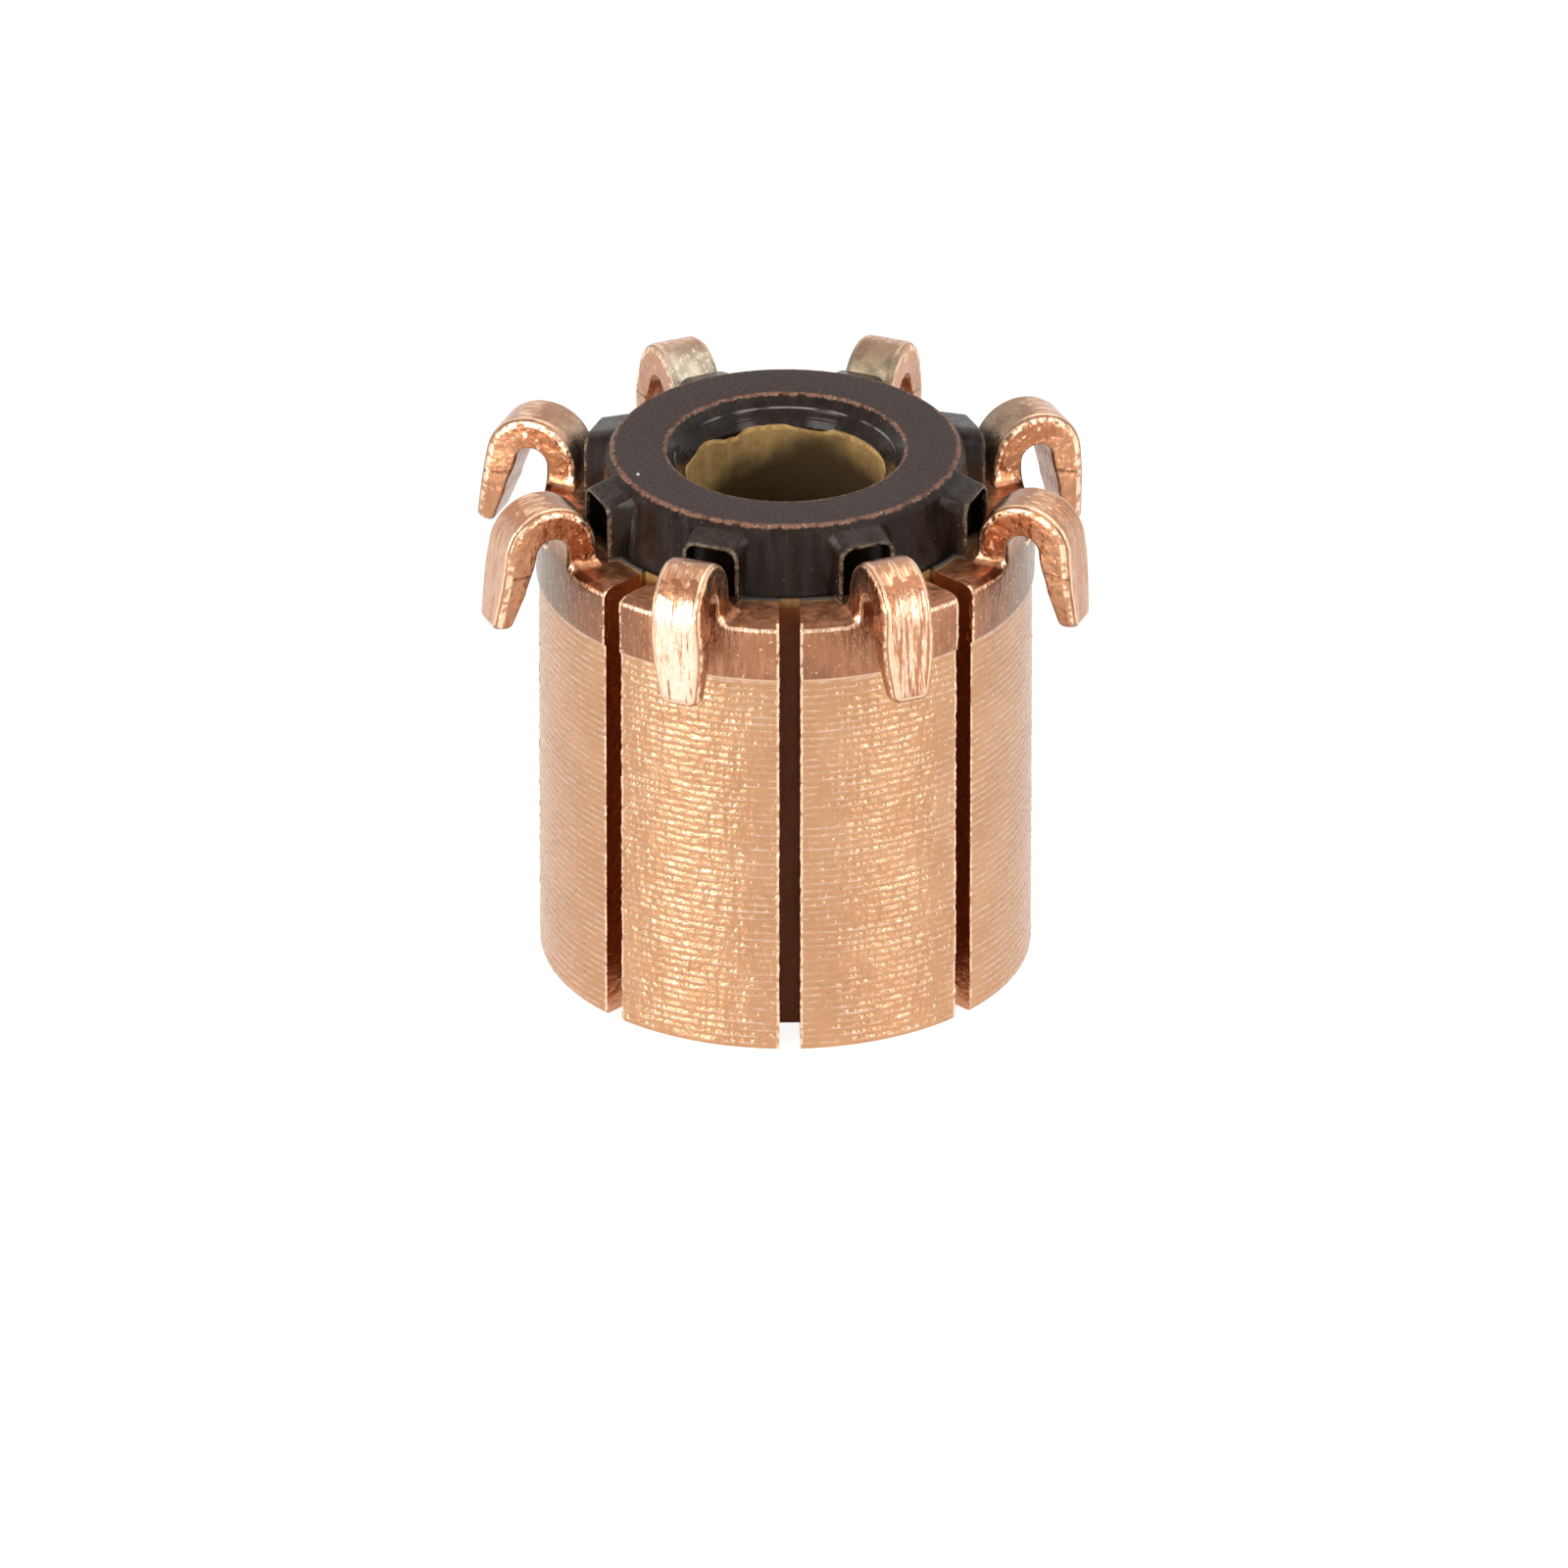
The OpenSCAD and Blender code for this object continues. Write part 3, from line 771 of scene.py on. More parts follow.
def copper_finish(settings, blank):
    """Copper: turned track, unturned riser, sheared and rolled hooks, sawn walls, moulding film."""
    finish = Finish("copper")
    graph = finish.graph
    fade, noise, times, plus, minus = graph.fade, graph.noise, graph.times, graph.plus, graph.minus
    coats, blend = graph.coats, graph.blend
    colours = settings.finish

    # Where a point lies on the flat blank and on the finished object
    facing = graph.attribute(FLAT_FACING, 'Vector')
    world = graph.object_mm()
    x, y, z = graph.split(graph.scaled(graph.attribute(FLAT_PLACE, 'Vector'), 1.0 / MM))
    nx, ny, nz = graph.split(facing)
    world_x, world_y = graph.split(world)[:2]
    aside = graph.math('ABSOLUTE', world_x)
    outwards = graph.vector('NORMALIZE', graph.join(x, y, 0.0))
    radial = graph.vector('DOT_PRODUCT', facing, outwards)
    strip = fade(z, blank.top + 0.05, blank.top + 0.4)
    outer = fade(radial, 0.45, 0.8)
    above_track = fade(z, blank.bar.track_h - 0.06, blank.bar.track_h + 0.02)
    side = fade(graph.math('ABSOLUTE', ny), 0.5, 0.85)

    # Grain of each surface
    drift = noise(world, 0.45, 3.0)
    lines = noise(world, (1.2, 1.2, 9.0), 2.0, 0.6)
    cells = noise(world, (3.4, 3.4, 3.6), 2.0, 0.6)
    chatter = noise(graph.join(times(y, 2.7), times(z, 0.8), drift), 1.0, 1.0)
    # Painted highlight on the crests of the turning lines
    flank = fade(graph.attribute(TURNING_MARK, 'Fac'), 0.05, 0.85)
    scratches = noise(world, (4.5, 4.5, 0.7), 3.0, 0.6)
    along = graph.join(times(y, 5.0), times(z, 0.55), x)
    streaks = noise(graph.vector('ADD', along, graph.scaled(world, 0.4)), 1.0, 3.0, 0.65)
    strokes = noise(graph.join(times(y, 9.0), times(z, 1.1), world_x), 1.0, 2.0, 0.6)
    mottle = noise(world, 2.6, 3.0, 0.6)
    dents = noise(world, 1.3, 2.0, 0.5)
    fine = noise(world, 6.5, 2.0, 0.55)
    beads = noise(world, 3.6, 1.0, 0.4)
    glints = times(fade(noise(world, 3.2, 3.0, 0.6), 0.57, 0.66), fade(dents, 0.45, 0.6))

    # Brush track and riser, with a pale line between them: a painted highlight along the step
    track = coats(
        tone(colours.track, 0.94),
        (fade(lines, 0.3, 0.7), colours.track),
        (fade(drift, 0.35, 0.7, 0.0, 0.6), colours.track_pale),
        (times(flank, fade(cells, 0.38, 0.58, 0.05, 0.36)), colours.flank),
        (fade(fine, 0.7, 0.75, 0.0, 0.6), colours.dark_specks_and_shade))
    # Darker riser copper: random dull patches, and painted shade on the left side
    dull_and_shaded = tone(colours.riser, 0.65)
    riser = coats(
        colours.riser,
        (fade(scratches, 0.42, 0.72), colours.riser_pale),
        (fade(drift, 0.5, 0.3, 0.0, 0.7), dull_and_shaded),
        (fade(drift, 0.5, 0.7, 0.0, 0.6), colours.riser_pale),
        # Painted shade: the riser made darker towards the left side
        (fade(world_x, -4.5, -7.0, 0.0, 0.6), dull_and_shaded),
        # Painted reflection: olive darkening of the riser towards the left and right silhouettes
        (fade(aside, 8.0, 9.6, 0.0, 0.75), colours.grazing_reflection),
        # Painted glints on the riser
        (fade(fine, 0.66, 0.72, 0.0, 0.8), colours.glint))
    # Painted highlight: a pale line along the step from the track to the riser
    step = fade(graph.apart(z, blank.bar.track_h), 0.1, 0.04, 0.0, 0.6)
    face = coats(track, (above_track, riser), (step, colours.glint))

    # Sawn walls and bar ends, with painted highlights along the shoulders and slot edges, where the slot
    # edges are partly burnished copper
    wall = coats(
        colours.wall,
        # Painted light: the slot walls grow paler towards the floor
        (fade(z, 3.0, 0.0), colours.wall_foot),
        (fade(mottle, 0.35, 0.7, 0.0, 0.5), tone(colours.wall, 1.4)))
    shelf = coats(
        tone(colours.shelf, 0.7),
        (fade(dents, 0.4, 0.6), colours.shelf),
        # Painted shade: darker copper towards the outer edge of the bar end
        (fade(x, blank.riser_r - 0.8, blank.riser_r - 0.4, 0.0, 0.7), colours.dark_fold_and_shade),
        # Painted glints on the bar end
        (times(glints, 0.5), colours.glint))
    # Painted shade: a darker band over the top of the rounded shoulder
    shaded = times(fade(nz, 0.5, 0.65), fade(radial, 0.05, 0.2), 0.85)
    # Painted highlight: a beaded bright line along the shoulder
    shoulder = times(fade(nz, 0.16, 0.28), fade(nz, 0.6, 0.46), fade(radial, 0.35, 0.55),
                     fade(beads, 0.36, 0.54, 0.45, 1.0))
    across = graph.vector('DOT_PRODUCT', graph.join(x, graph.math('ABSOLUTE', y), 0.0),
                          (math.sin(blank.half_pitch), -math.cos(blank.half_pitch), 0.0))
    # Slot edges: partly burnished bare copper, partly painted highlight beads
    slot_edge = times(fade(minus(across, blank.bar.slot / 2), 0.15, 0.07), fade(radial, 0.15, 0.4),
                      fade(beads, 0.4, 0.5, 0.1, 1.0))
    body = coats(
        wall,
        (fade(nz, 0.4, 0.8), shelf),
        (outer, face),
        (shaded, colours.dark_specks_and_shade),
        (shoulder, colours.glint),
        (slot_edge, colours.glint))

    # Broad faces of the hook strip: arch with a painted dark reflection over its top and painted highlights,
    # dark fold and streaked leg, and painted shade at the edges and tip
    bent = graph.math('DIVIDE', minus(z, blank.bend_z), blank.bend_length)
    ragged = graph.sway(bent, mottle, 0.35)
    # Legs darker and with fewer pale streaks on the right-hand and side hooks
    marks = minus(streaks, fade(world_x, -2.0, 4.0, 0.0, 0.075))
    darker_by_place = graph.most(fade(world_x, -2.0, 5.0, 0.0, 0.3), fade(aside, 6.0, 9.0, 0.0, 0.65))
    leg = coats(
        colours.hook,
        (fade(marks, 0.34, 0.5), colours.hook_pale),
        (times(fade(marks, 0.41, 0.34), fade(aside, 5.0, 8.0, 0.85, 0.3)), colours.dark_fold_and_shade),
        (darker_by_place, colours.hook))
    # Painted highlights: pale flecks on the arch where lamp reflections fall
    fleck_highlights = times(fade(ragged, 0.5, 0.56), fade(ragged, 0.72, 0.66), fade(strokes, 0.44, 0.6, 0.0, 0.85))
    on_leg = fade(ragged, 0.74, 0.82)
    dark_fold_and_shade = times(fade(ragged, 0.65, 0.71), fade(ragged, 0.87, 0.8), fade(aside, 5.0, 8.0, 1.0, 0.35),
                 fade(mottle, 0.38, 0.5, 0.4, 0.9))
    # Painted highlight: a bright line along the edges of the broad face
    ridge = times(fade(nx, -0.985, -0.95), fade(nx, -0.78, -0.88), fade(bent, 0.3, 0.45, 0.0, 0.75))
    broad = coats(
        tone(colours.arch, 0.88),
        (fade(streaks, 0.3, 0.6), colours.arch),
        # Painted reflection: a darker brown band over the top of the arch
        (fade(bent, 0.57, 0.48, 0.0, 0.8), tone(colours.arch, 0.62)),
        (fleck_highlights, colours.glint),
        (on_leg, leg),
        (dark_fold_and_shade, colours.dark_fold_and_shade),
        # Painted shade: the tip's end made darker
        (fade(z, blank.end_z - 0.4, blank.end_z - 0.05, 0.0, 0.8), colours.dark_fold_and_shade),
        # Painted shade: darker rolled edges along the broad face
        (fade(nx, -0.97, -0.75, 0.0, 0.7), colours.dark_fold_and_shade),
        (ridge, colours.glint))

    # Sheared sides of the strip, with painted light and shade by place and at the root, painted glints, and
    # the pressed crease across the leg as a painted dark line
    # Painted shade: darker sides at the hooks' roots, except on the front hooks
    root = times(fade(bent, 0.3, -0.1), fade(world_y, -9.5, -6.5, 0.0, 0.7))
    # Painted reflection: lighter, streaked sides on the front hooks
    front_side = blend(fade(streaks, 0.38, 0.6), colours.arch, colours.glint)
    # Painted light: paler sides on the rear hooks, paler still on the right
    rear_side = blend(fade(world_x, -3.0, 3.0), colours.sheared_pale, tone(colours.sheared_pale, 1.3))
    # Painted shade: darker sides on the hooks far out to the sides and towards the back
    behind = times(fade(aside, 7.0, 9.0), fade(world_y, 1.0, 4.0, 0.0, 0.55))
    leg_side = blend(fade(mottle, 0.35, 0.65), tone(colours.sheared_pale, 0.85), colours.sheared_pale)
    slanted = plus(graph.sway(z, drift, 0.8), times(minus(x, blank.back_x), 0.25))
    to_crease = graph.apart(slanted, blank.end_z - blank.hook.crease)
    # Painted shade: a dark line along the pressed crease
    crease = times(fade(to_crease, 0.1, 0.04), fade(mottle, 0.3, 0.5, 0.3, 0.9))
    to_edge = graph.apart(x, blank.back_x + blank.hook.rolled * 0.8)
    sheared = coats(
        colours.sheared,
        (fade(drift, 0.4, 0.6), tone(colours.sheared, 1.35)),
        (root, tone(colours.sheared, 0.5)),
        (fade(world_y, -7.0, -9.5, 0.0, 0.85), front_side),
        (fade(world_y, 4.0, 9.0, 0.0, 0.7), rear_side),
        (behind, tone(colours.sheared, 0.65)),
        # Painted glints on the sheared sides
        (glints, colours.glint),
        (fade(ragged, 0.55, 0.85), leg_side),
        (crease, colours.dark_specks_and_shade))
    # Painted highlight: bright beads along the sides' outer edge
    edge = times(fade(to_edge, 0.15, 0.07), fade(beads, 0.46, 0.54, 0.12, 1.0), side)

    # Film on the face that leans on the collar, wider on the hooks behind it
    film_end = fade(world_y, -3.0, 9.0, 0.28, 0.62)
    past_film = minus(graph.sway(bent, drift, 0.5), film_end)
    film = times(fade(nx, -0.1, -0.6), fade(past_film, 0.2, -0.35), fade(world_y, -9.0, 3.0, 0.25, 1.0),
                 fade(fine, 0.3, 0.5, 0.7, 1.0), fade(world_x, -9.0, -6.5, 0.5, 1.0))
    cloudy = coats(
        tone(colours.film, 0.65),
        (fade(dents, 0.4, 0.6), tone(colours.film, 1.15)),
        # Painted glints: pale specks in the film
        (fade(fine, 0.62, 0.7), tone(colours.film, 1.9)))
    # Painted light and shade: film paler on the left-hand hooks and darker on the right-hand ones
    film_shading = blend(fade(world_x, -4.5, 4.5), (1.3, 1.35, 1.45), (0.7, 0.65, 0.6))
    hook = coats(
        # Painted shade: the rounded edges between the hook's faces take the dark fold colour
        colours.dark_fold_and_shade,
        (fade(nx, -0.25, -0.75), broad),
        # Painted shade: the hook's inner faces under the bend are darker
        (fade(nx, 0.25, 0.75), tone(colours.hook, 0.6)),
        (side, sheared),
        (edge, colours.glint),
        (film, blend(1.0, cloudy, film_shading, 'MULTIPLY')))

    # Turning and rolling leave marks that spread a highlight along the shaft and along the hooks
    normal = graph.add('ShaderNodeNewGeometry').outputs['Normal']
    round_shaft = graph.vector('NORMALIZE', graph.vector('CROSS_PRODUCT', (0.0, 0.0, 1.0), world))
    spread = graph.vector('CROSS_PRODUCT', normal, round_shaft)
    spread = graph.vector('NORMALIZE', graph.vector('ADD', spread, (0.0, 0.0, 0.2)))
    up_end = times(fade(nz, 0.4, 0.7), minus(1.0, strip))
    rough = plus(0.23, fade(cells, 0.3, 0.7, 0.0, 0.1), times(up_end, 0.1), times(film, 0.15),
                 times(strip, side, 0.03), times(strip, minus(1.0, side), -0.05))
    finish.set(Base_Color=blend(strip, body, hook), Metallic=minus(1.0, times(film, 0.4)), Roughness=rough,
               Anisotropic=0.75, Tangent=spread, Coat_Weight=0.32, Coat_Roughness=0.22)
    track_grain = plus(times(cells, 0.8), times(chatter, 0.9))
    body_grain = coats(track_grain, (above_track, scratches), (fade(nz, 0.3, 0.6), times(dents, 1.1)))
    side_grain = plus(times(mottle, 0.6), times(dents, 1.6))
    hook_grain = coats(times(dents, 0.9), (on_leg, streaks), (side, side_grain))
    finish.relief(blend(strip, body_grain, hook_grain), 0.08)
    return finish.material


def resin_finish(settings, blank):
    """Moulded phenolic: dark skin, worn rims, and the paler resin laid bare where it was machined."""
    finish = Finish("phenolic")
    graph = finish.graph
    fade, noise, times, plus, minus = graph.fade, graph.noise, graph.times, graph.plus, graph.minus
    coats, blend = graph.coats, graph.blend
    colours = settings.finish
    hub = Sizes(settings.hub)
    rim_r = hub.rim_r - hub.rim_w
    bore_r = BORE["r_mm"]
    place = graph.object_mm()
    x, y, z = graph.split(place)
    level = graph.join(x, y, 0.0)
    r = graph.vector('LENGTH', level)
    drift = noise(place, 0.6, 3.0)
    mottle = noise(place, 3.0, 3.0, 0.6)
    fine = noise(place, 7.0, 2.0, 0.5)
    sweep = noise(place, (2.2, 2.2, 0.25), 3.0, 0.6)
    rings = noise(graph.join(times(r, 5.0), 0.0, times(z, 5.0)), 1.0, 2.0)
    ragged = times(minus(mottle, 0.5), 0.22)

    # Skin with a faced top, worn rims, specks of dust, painted sheen streaks and a painted highlight on the
    # recess step
    faced = fade(z, COLLAR_TOP - 0.06, COLLAR_TOP - 0.02)
    faced_skin = blend(fade(fine, 0.35, 0.65), colours.faced, tone(colours.faced, 1.5))
    from_rim = minus(graph.apart(r, rim_r), ragged)
    from_lead = minus(graph.apart(r, hub.lead_r), ragged)
    near_top = fade(z, COLLAR_TOP - 0.45, COLLAR_TOP - 0.2)
    rims = times(graph.most(fade(from_rim, 0.12, 0.05), fade(from_lead, 0.1, 0.04)), near_top)
    worn = coats(
        tone(colours.worn, 0.55),
        (fade(mottle, 0.4, 0.56), colours.worn),
        (fade(fine, 0.58, 0.66), colours.chipped))
    speck_x, speck_y = settings.hub.speck
    to_speck = graph.vector('SUBTRACT', level, (speck_x / MM, speck_y / MM, 0.0))
    to_speck = graph.vector('LENGTH', graph.vector('MULTIPLY', to_speck, (1.0, 0.6, 0.0)))
    to_step = graph.apart(z, COLLAR_TOP - hub.lead_depth)
    # Painted highlight: a pale arc along the small step in the recess
    step = times(fade(to_step, 0.045, 0.015), fade(r, hub.lead_r, hub.lead_r - 0.1),
                 fade(drift, 0.46, 0.62, 0.0, 0.7))
    skin = coats(
        tone(colours.skin, 0.5),
        (fade(drift, 0.3, 0.7), colours.skin),
        # Painted reflection: paler sheen streaks down the skin
        (fade(sweep, 0.42, 0.74, 0.0, 0.6), colours.sheen),
        (faced, faced_skin),
        (rims, worn),
        (fade(fine, 0.72, 0.77, 0.0, 0.5), colours.dust_and_highlight),
        (times(faced, fade(to_speck, 0.09, 0.05)), tone(colours.dust_and_highlight, 2.4)),
        (step, colours.dust_and_highlight))

    # Sockets that hold the backs of the hooks: tan mouths, and pockets painted black as shade
    pitch = 2 * blank.half_pitch
    turn = minus(graph.math('FLOORED_MODULO', graph.math('ARCTAN2', y, x), pitch), pitch / 2)
    ahead = times(r, graph.math('COSINE', turn))
    aside = graph.math('ABSOLUTE', times(r, graph.math('SINE', turn)))
    above = fade(z, blank.top + 0.15, blank.top + 0.25)
    mouth = times(above, fade(plus(ahead, ragged), hub.mouth - 0.18, hub.mouth - 0.06),
                  fade(mottle, 0.36, 0.5, 0.15, 1.0))
    tan = blend(fade(fine, 0.4, 0.65), tone(colours.mouth, 0.5), tone(colours.mouth, 1.25))
    facing_z = graph.split(graph.add('ShaderNodeNewGeometry').outputs['Normal'])[2]
    # Scuffed socket roofs, paler on upward faces as painted sheen
    roof = times(fade(r, rim_r + 0.35, rim_r + 0.5), fade(facing_z, 0.6, 0.85), above,
                 fade(mottle, 0.35, 0.6, 0.3, 1.0))
    half_w = hub.pocket_w / 2
    # Painted shade: the pockets darker than the skin
    pocket = times(fade(ahead, hub.mouth - 0.1, hub.mouth - 0.25), fade(aside, half_w + 0.05, half_w - 0.02),
                   fade(r, hub.pocket_r, hub.pocket_r + 0.08), fade(z, hub.pocket_top + 0.05, hub.pocket_top))
    foot = times(fade(z, blank.top + 0.2, blank.top + 0.1), fade(r, hub.foot_r, hub.foot_r + 0.06))
    skin = coats(
        skin,
        (mouth, tan),
        (roof, colours.roof),
        (pocket, tone(colours.skin, 0.3)),
        (foot, colours.foot))

    # Machined bore with a worn lip, darker further down and towards the right as painted shade
    lip = plus(fade(noise(place, 0.42, 1.0, 0.4), 0.48, 0.64, 0.0, 0.24), times(ragged, 0.6))
    to_lip = plus(z, lip)
    in_bore = times(fade(to_lip, BORE_TOP + 0.1, BORE_TOP + 0.03), fade(r, bore_r + 0.3, bore_r + 0.2))
    chips = times(fade(to_lip, BORE_TOP - 0.2, BORE_TOP - 0.06), fade(mottle, 0.4, 0.56))
    # Painted shade: the bore darkens with depth, and more so towards the right
    sideways = times(minus(x, 1.2), 1.0 / bore_r)
    depth = graph.sway(plus(z, times(sideways, sideways, 1.8)), drift, 2.0)
    bare = coats(
        colours.resin,
        (fade(mottle, 0.35, 0.65), tone(colours.resin, 0.8)),
        (fade(sweep, 0.4, 0.65, 0.0, 0.5), tone(colours.resin, 1.3)),
        (chips, tone(colours.resin, 1.7)),
        (fade(depth, BORE_TOP + 0.5, BORE_TOP - 1.2, 0.0, 0.97), tone(colours.resin, 0.14)))

    # Slot floors, dark as painted shade and paler towards the top of the slots
    in_slot = times(fade(z, blank.top + 0.06, blank.top - 0.02), fade(r, bore_r + 1.0, bore_r + 2.0))
    sawn = coats(
        colours.sawn,
        (fade(z, blank.top - 0.5, blank.top - 0.1), colours.resin),
        (fade(sweep, 0.4, 0.65, 0.0, 0.6), tone(colours.sawn, 0.6)))

    # Gloss and grain: smooth in the recess, dull in the bore and on the faced top
    recess_z = COLLAR_TOP - hub.recess
    recess = times(fade(r, hub.lead_r + 0.02, hub.lead_r - 0.05), fade(z, recess_z, recess_z + 0.3))
    rough = plus(0.2, fade(mottle, 0.3, 0.7, 0.0, 0.14), times(recess, -0.1))
    rough = graph.most(rough, times(in_bore, 0.85), times(faced, 0.65))
    finish.set(Base_Color=coats(skin, (in_bore, bare), (in_slot, sawn)), Roughness=rough,
               Specular_IOR_Level=0.15)
    height = plus(times(mottle, 0.7), times(fine, 0.3))
    finish.relief(coats(height, (faced, times(height, 0.4)), (recess, rings)), 0.02)
    return finish.material


class COMMUTATOR_OT_bars(Operator):
    """Builds the copper bars with their winding hooks"""
    bl_idname = "commutator.bars"
    bl_label = "Copper bars"

    SHARP = math.radians(50)

    def execute(self, context):
        settings = context.scene.commutator
        bar = settings.bar
        hook = settings.hook
        if len(BAR_NODES) != len(hook.flare):
            raise RuntimeError("The frame has %d bars for %d hooks" % (len(BAR_NODES), len(hook.flare)))
        blank = BarBlank(settings)
        mesh = blank.mesh()
        material = copper_finish(settings, blank)
        tree = bar_tree()
        for k, node in enumerate(BAR_NODES):
            piece = new_piece("hook_bar_%d" % (k + 1), mesh.copy())
            apply_tree(piece, tree, {
                "Bar angle": 2 * blank.half_pitch * (k + 0.5) - math.pi / 2,
                "Half pitch": blank.half_pitch,
                "Slot": bar.slot,
                "Track radius": bar.track_r,
                "Track height": bar.track_h,
                "Feed": bar.feed,
                "Feed depth": bar.feed_depth,
                "Burr": bar.burr,
                "Bend start": blank.bend_z * MM,
                "Bend centre": blank.bend_x * MM,
                "Bend length": blank.bend_length * MM,
                "Leg length": hook.leg,
                "Bend angle": math.pi - hook.flare[k],
                "Lean": hook.lean[k],
                "Seed": bar.seed + k,
                "Material": material})
            piece.data.set_sharp_from_angle(angle=self.SHARP)
            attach(piece, BODY)
            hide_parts(node)
        return {'FINISHED'}


class COMMUTATOR_OT_hub(Operator):
    """Softens the edges of the moulded hub"""
    bl_idname = "commutator.hub"
    bl_label = "Moulded hub"

    FLAT = math.radians(0.5)
    SHARP = math.radians(25)
    CORNER = math.radians(28)
    WELD = 0.0005 * MM
    SLIVER = 0.002 * MM

    def execute(self, context):
        settings = context.scene.commutator
        if HUB_NODE not in frame["nodes"]:
            raise RuntimeError("The frame has no %s" % HUB_NODE)
        blank = BarBlank(settings)
        hub = Sizes(settings.hub)
        bm = bmesh.new()
        bm.from_mesh(frame["nodes"][HUB_NODE].data)
        bmesh.ops.remove_doubles(bm, verts=bm.verts, dist=self.WELD)
        bmesh.ops.dissolve_limit(bm, angle_limit=self.FLAT, verts=bm.verts, edges=bm.edges)
        edges = [edge for edge in bm.edges if self.shows(edge, hub, blank)]
        bmesh.ops.bevel(bm, geom=edges, offset=settings.hub.edge, segments=2, profile=0.5,
                        affect='EDGES', clamp_overlap=False)
        bmesh.ops.remove_doubles(bm, verts=bm.verts, dist=self.SLIVER)
        bmesh.ops.dissolve_degenerate(bm, edges=bm.edges, dist=self.SLIVER)
        mesh = mesh_from(bm, "hub_moulding")
        mesh.set_sharp_from_angle(angle=self.SHARP)
        mesh.materials.append(resin_finish(settings, blank))
        piece = new_piece("hub_moulding", mesh)
        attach(piece, BODY)
        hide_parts(HUB_NODE)
        return {'FINISHED'}

    def shows(self, edge, hub, blank):
        """Whether an edge is a sharp outer one of the foot, the bore, the collar or a socket's mouth."""
        if not edge.is_convex or edge.calc_face_angle() < self.CORNER:
            return False
        middle = (edge.verts[0].co + edge.verts[1].co) / 2 / MM
        r = middle.xy.length
        foot = middle.z < 0.5
        bore = r < BORE["r_mm"] + 0.2 and middle.z > blank.top
        collar = r < hub.rim_r + 0.2 and middle.z > COLLAR_TOP - 0.4
        mouth = r > hub.mouth - 0.12 and middle.z > blank.top + 0.05
        return foot or bore or collar or mouth


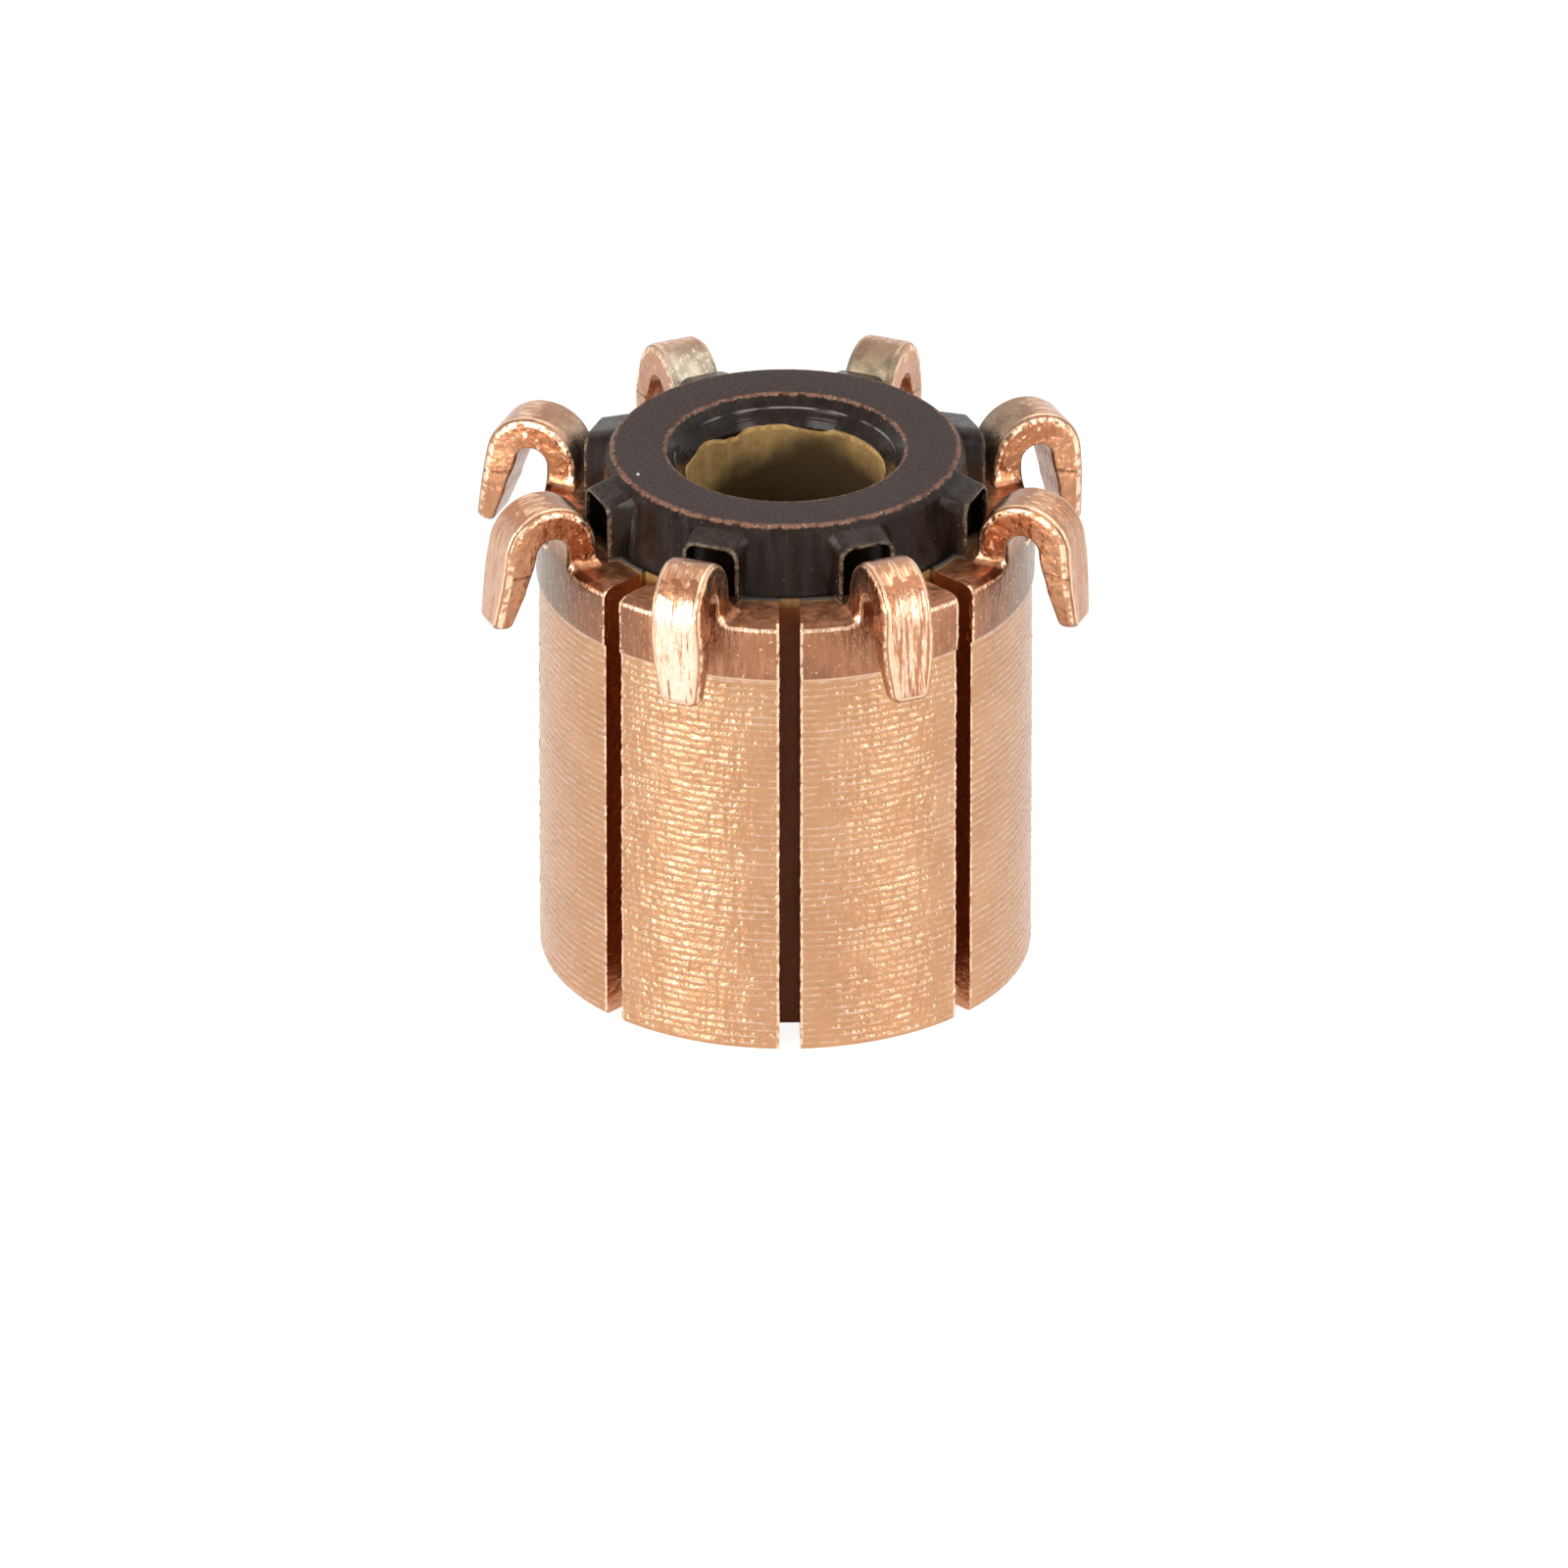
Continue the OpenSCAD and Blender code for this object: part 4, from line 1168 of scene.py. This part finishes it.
class COMMUTATOR_OT_stage(Operator):
    """Sets up the camera, the pale floor and the soft studio light"""
    bl_idname = "commutator.stage"
    bl_label = "Stage"

    SENSOR = 36.0
    NEAR = 0.05
    FAR = 10.0
    FLOOR_HALF = 3.0
    # Name, degrees to the right of the camera, degrees above the floor, and width and height in metres
    LAMPS = (("left", -45.0, 22.0, 0.14, 0.26),
             ("right", 48.0, 22.0, 0.08, 0.26),
             ("top", 105.0, 60.0, 0.3, 0.3))

    def execute(self, context):
        stage = context.scene.commutator.stage
        context.scene.view_settings.view_transform = 'Standard'
        self.add_camera(context.scene, stage)
        self.add_floor(stage)
        self.add_world(context.scene, stage)
        for lamp in self.LAMPS:
            self.add_lamp(stage, *lamp)
        return {'FINISHED'}

    def aim(self, thing, place, target):
        """Puts a camera or lamp at a place and turns it to a target."""
        thing.location = place
        thing.rotation_euler = (target - place).to_track_quat('-Z', 'Y').to_euler()

    def direction(self, stage, turn, rise):
        """The direction from the object at an angle to the camera's side and a height above the floor."""
        side = turn - stage.camera_turn
        flat = Vector((math.sin(side), -math.cos(side), 0.0)) * math.cos(rise)
        return flat + Vector((0.0, 0.0, math.sin(rise)))

    def add_camera(self, scene, stage):
        """The camera, far away with a long lens, as the picture has almost no perspective."""
        data = bpy.data.cameras.new("camera")
        data.lens = stage.lens
        data.sensor_width = self.SENSOR
        data.clip_start = self.NEAR
        data.clip_end = self.FAR
        camera = new_piece("camera", data)
        target = Vector((stage.shift, 0.0, stage.target_height))
        distance = stage.view_width * stage.lens / self.SENSOR
        self.aim(camera, target + self.direction(stage, 0.0, stage.camera_rise) * distance, target)
        scene.camera = camera

    def add_floor(self, stage):
        """A pale floor that shows white to the camera and keeps a soft shadow."""
        bm = bmesh.new()
        bmesh.ops.create_grid(bm, x_segments=8, y_segments=8, size=self.FLOOR_HALF)
        mesh = mesh_from(bm, "floor")
        finish = Finish("pale_floor")
        glow = finish.graph.times(finish.graph.seen(), stage.floor_glow)
        finish.set(Base_Color=(*stage.floor, 1.0), Roughness=0.9, Specular_IOR_Level=0.0,
                   Emission_Color=WHITE, Emission_Strength=glow)
        mesh.materials.append(finish.material)
        floor = new_piece("floor", mesh)

    def add_world(self, scene, stage):
        """A white surrounding for the camera and the metal, and a soft even light."""
        world = bpy.data.worlds.new("studio")
        world.use_nodes = True
        graph = Graph(world.node_tree)
        background = world.node_tree.nodes["Background"].inputs
        graph.feed(background['Strength'], graph.fade(graph.seen(), 0.0, 1.0, stage.fill, 1.0))
        graph.feed(background['Color'], WHITE)
        scene.world = world

    def add_lamp(self, stage, name, turn, rise, width, height):
        """A soft rectangular lamp at an angle to the camera's side."""
        data = bpy.data.lights.new(name + "_softbox", 'AREA')
        data.shape = 'RECTANGLE'
        data.size = width
        data.size_y = height
        data.energy = getattr(stage, name + "_power")
        towards = self.direction(stage, math.radians(turn), math.radians(rise))
        target = Vector((0.0, 0.0, stage.target_height))
        self.aim(new_piece(data.name, data), target + towards * stage.lamp_distance, target)


class COMMUTATOR_PT_panel(Panel):
    """Lists the steps and their settings"""
    bl_idname = "COMMUTATOR_PT_panel"
    bl_label = "Commutator"
    bl_space_type = 'VIEW_3D'
    bl_region_type = 'UI'
    bl_category = "Commutator"

    def draw(self, context):
        settings = context.scene.commutator
        for operator, groups in (
                (COMMUTATOR_OT_bars, (settings.bar, settings.hook)),
                (COMMUTATOR_OT_hub, (settings.hub, settings.finish)),
                (COMMUTATOR_OT_stage, (settings.stage,))):
            box = self.layout.box()
            box.operator(operator.bl_idname)
            for group in groups:
                for name in group.__annotations__:
                    box.prop(group, name)


CLASSES = (BarSettings, HookSettings, HubSettings, FinishSettings, StageSettings, CommutatorSettings,
           COMMUTATOR_OT_bars, COMMUTATOR_OT_hub, COMMUTATOR_OT_stage, COMMUTATOR_PT_panel)


def register():
    """Registers the classes and hangs the settings on the scene."""
    for item in CLASSES:
        bpy.utils.register_class(item)
    bpy.types.Scene.commutator = PointerProperty(type=CommutatorSettings)


def unregister():
    """Takes the settings and the classes away again."""
    del bpy.types.Scene.commutator
    for item in reversed(CLASSES):
        bpy.utils.unregister_class(item)


def main():
    """Builds the commutator and its stage."""
    register()
    bpy.ops.commutator.bars()
    bpy.ops.commutator.hub()
    bpy.ops.commutator.stage()


if __name__ == "__main__":
    main()
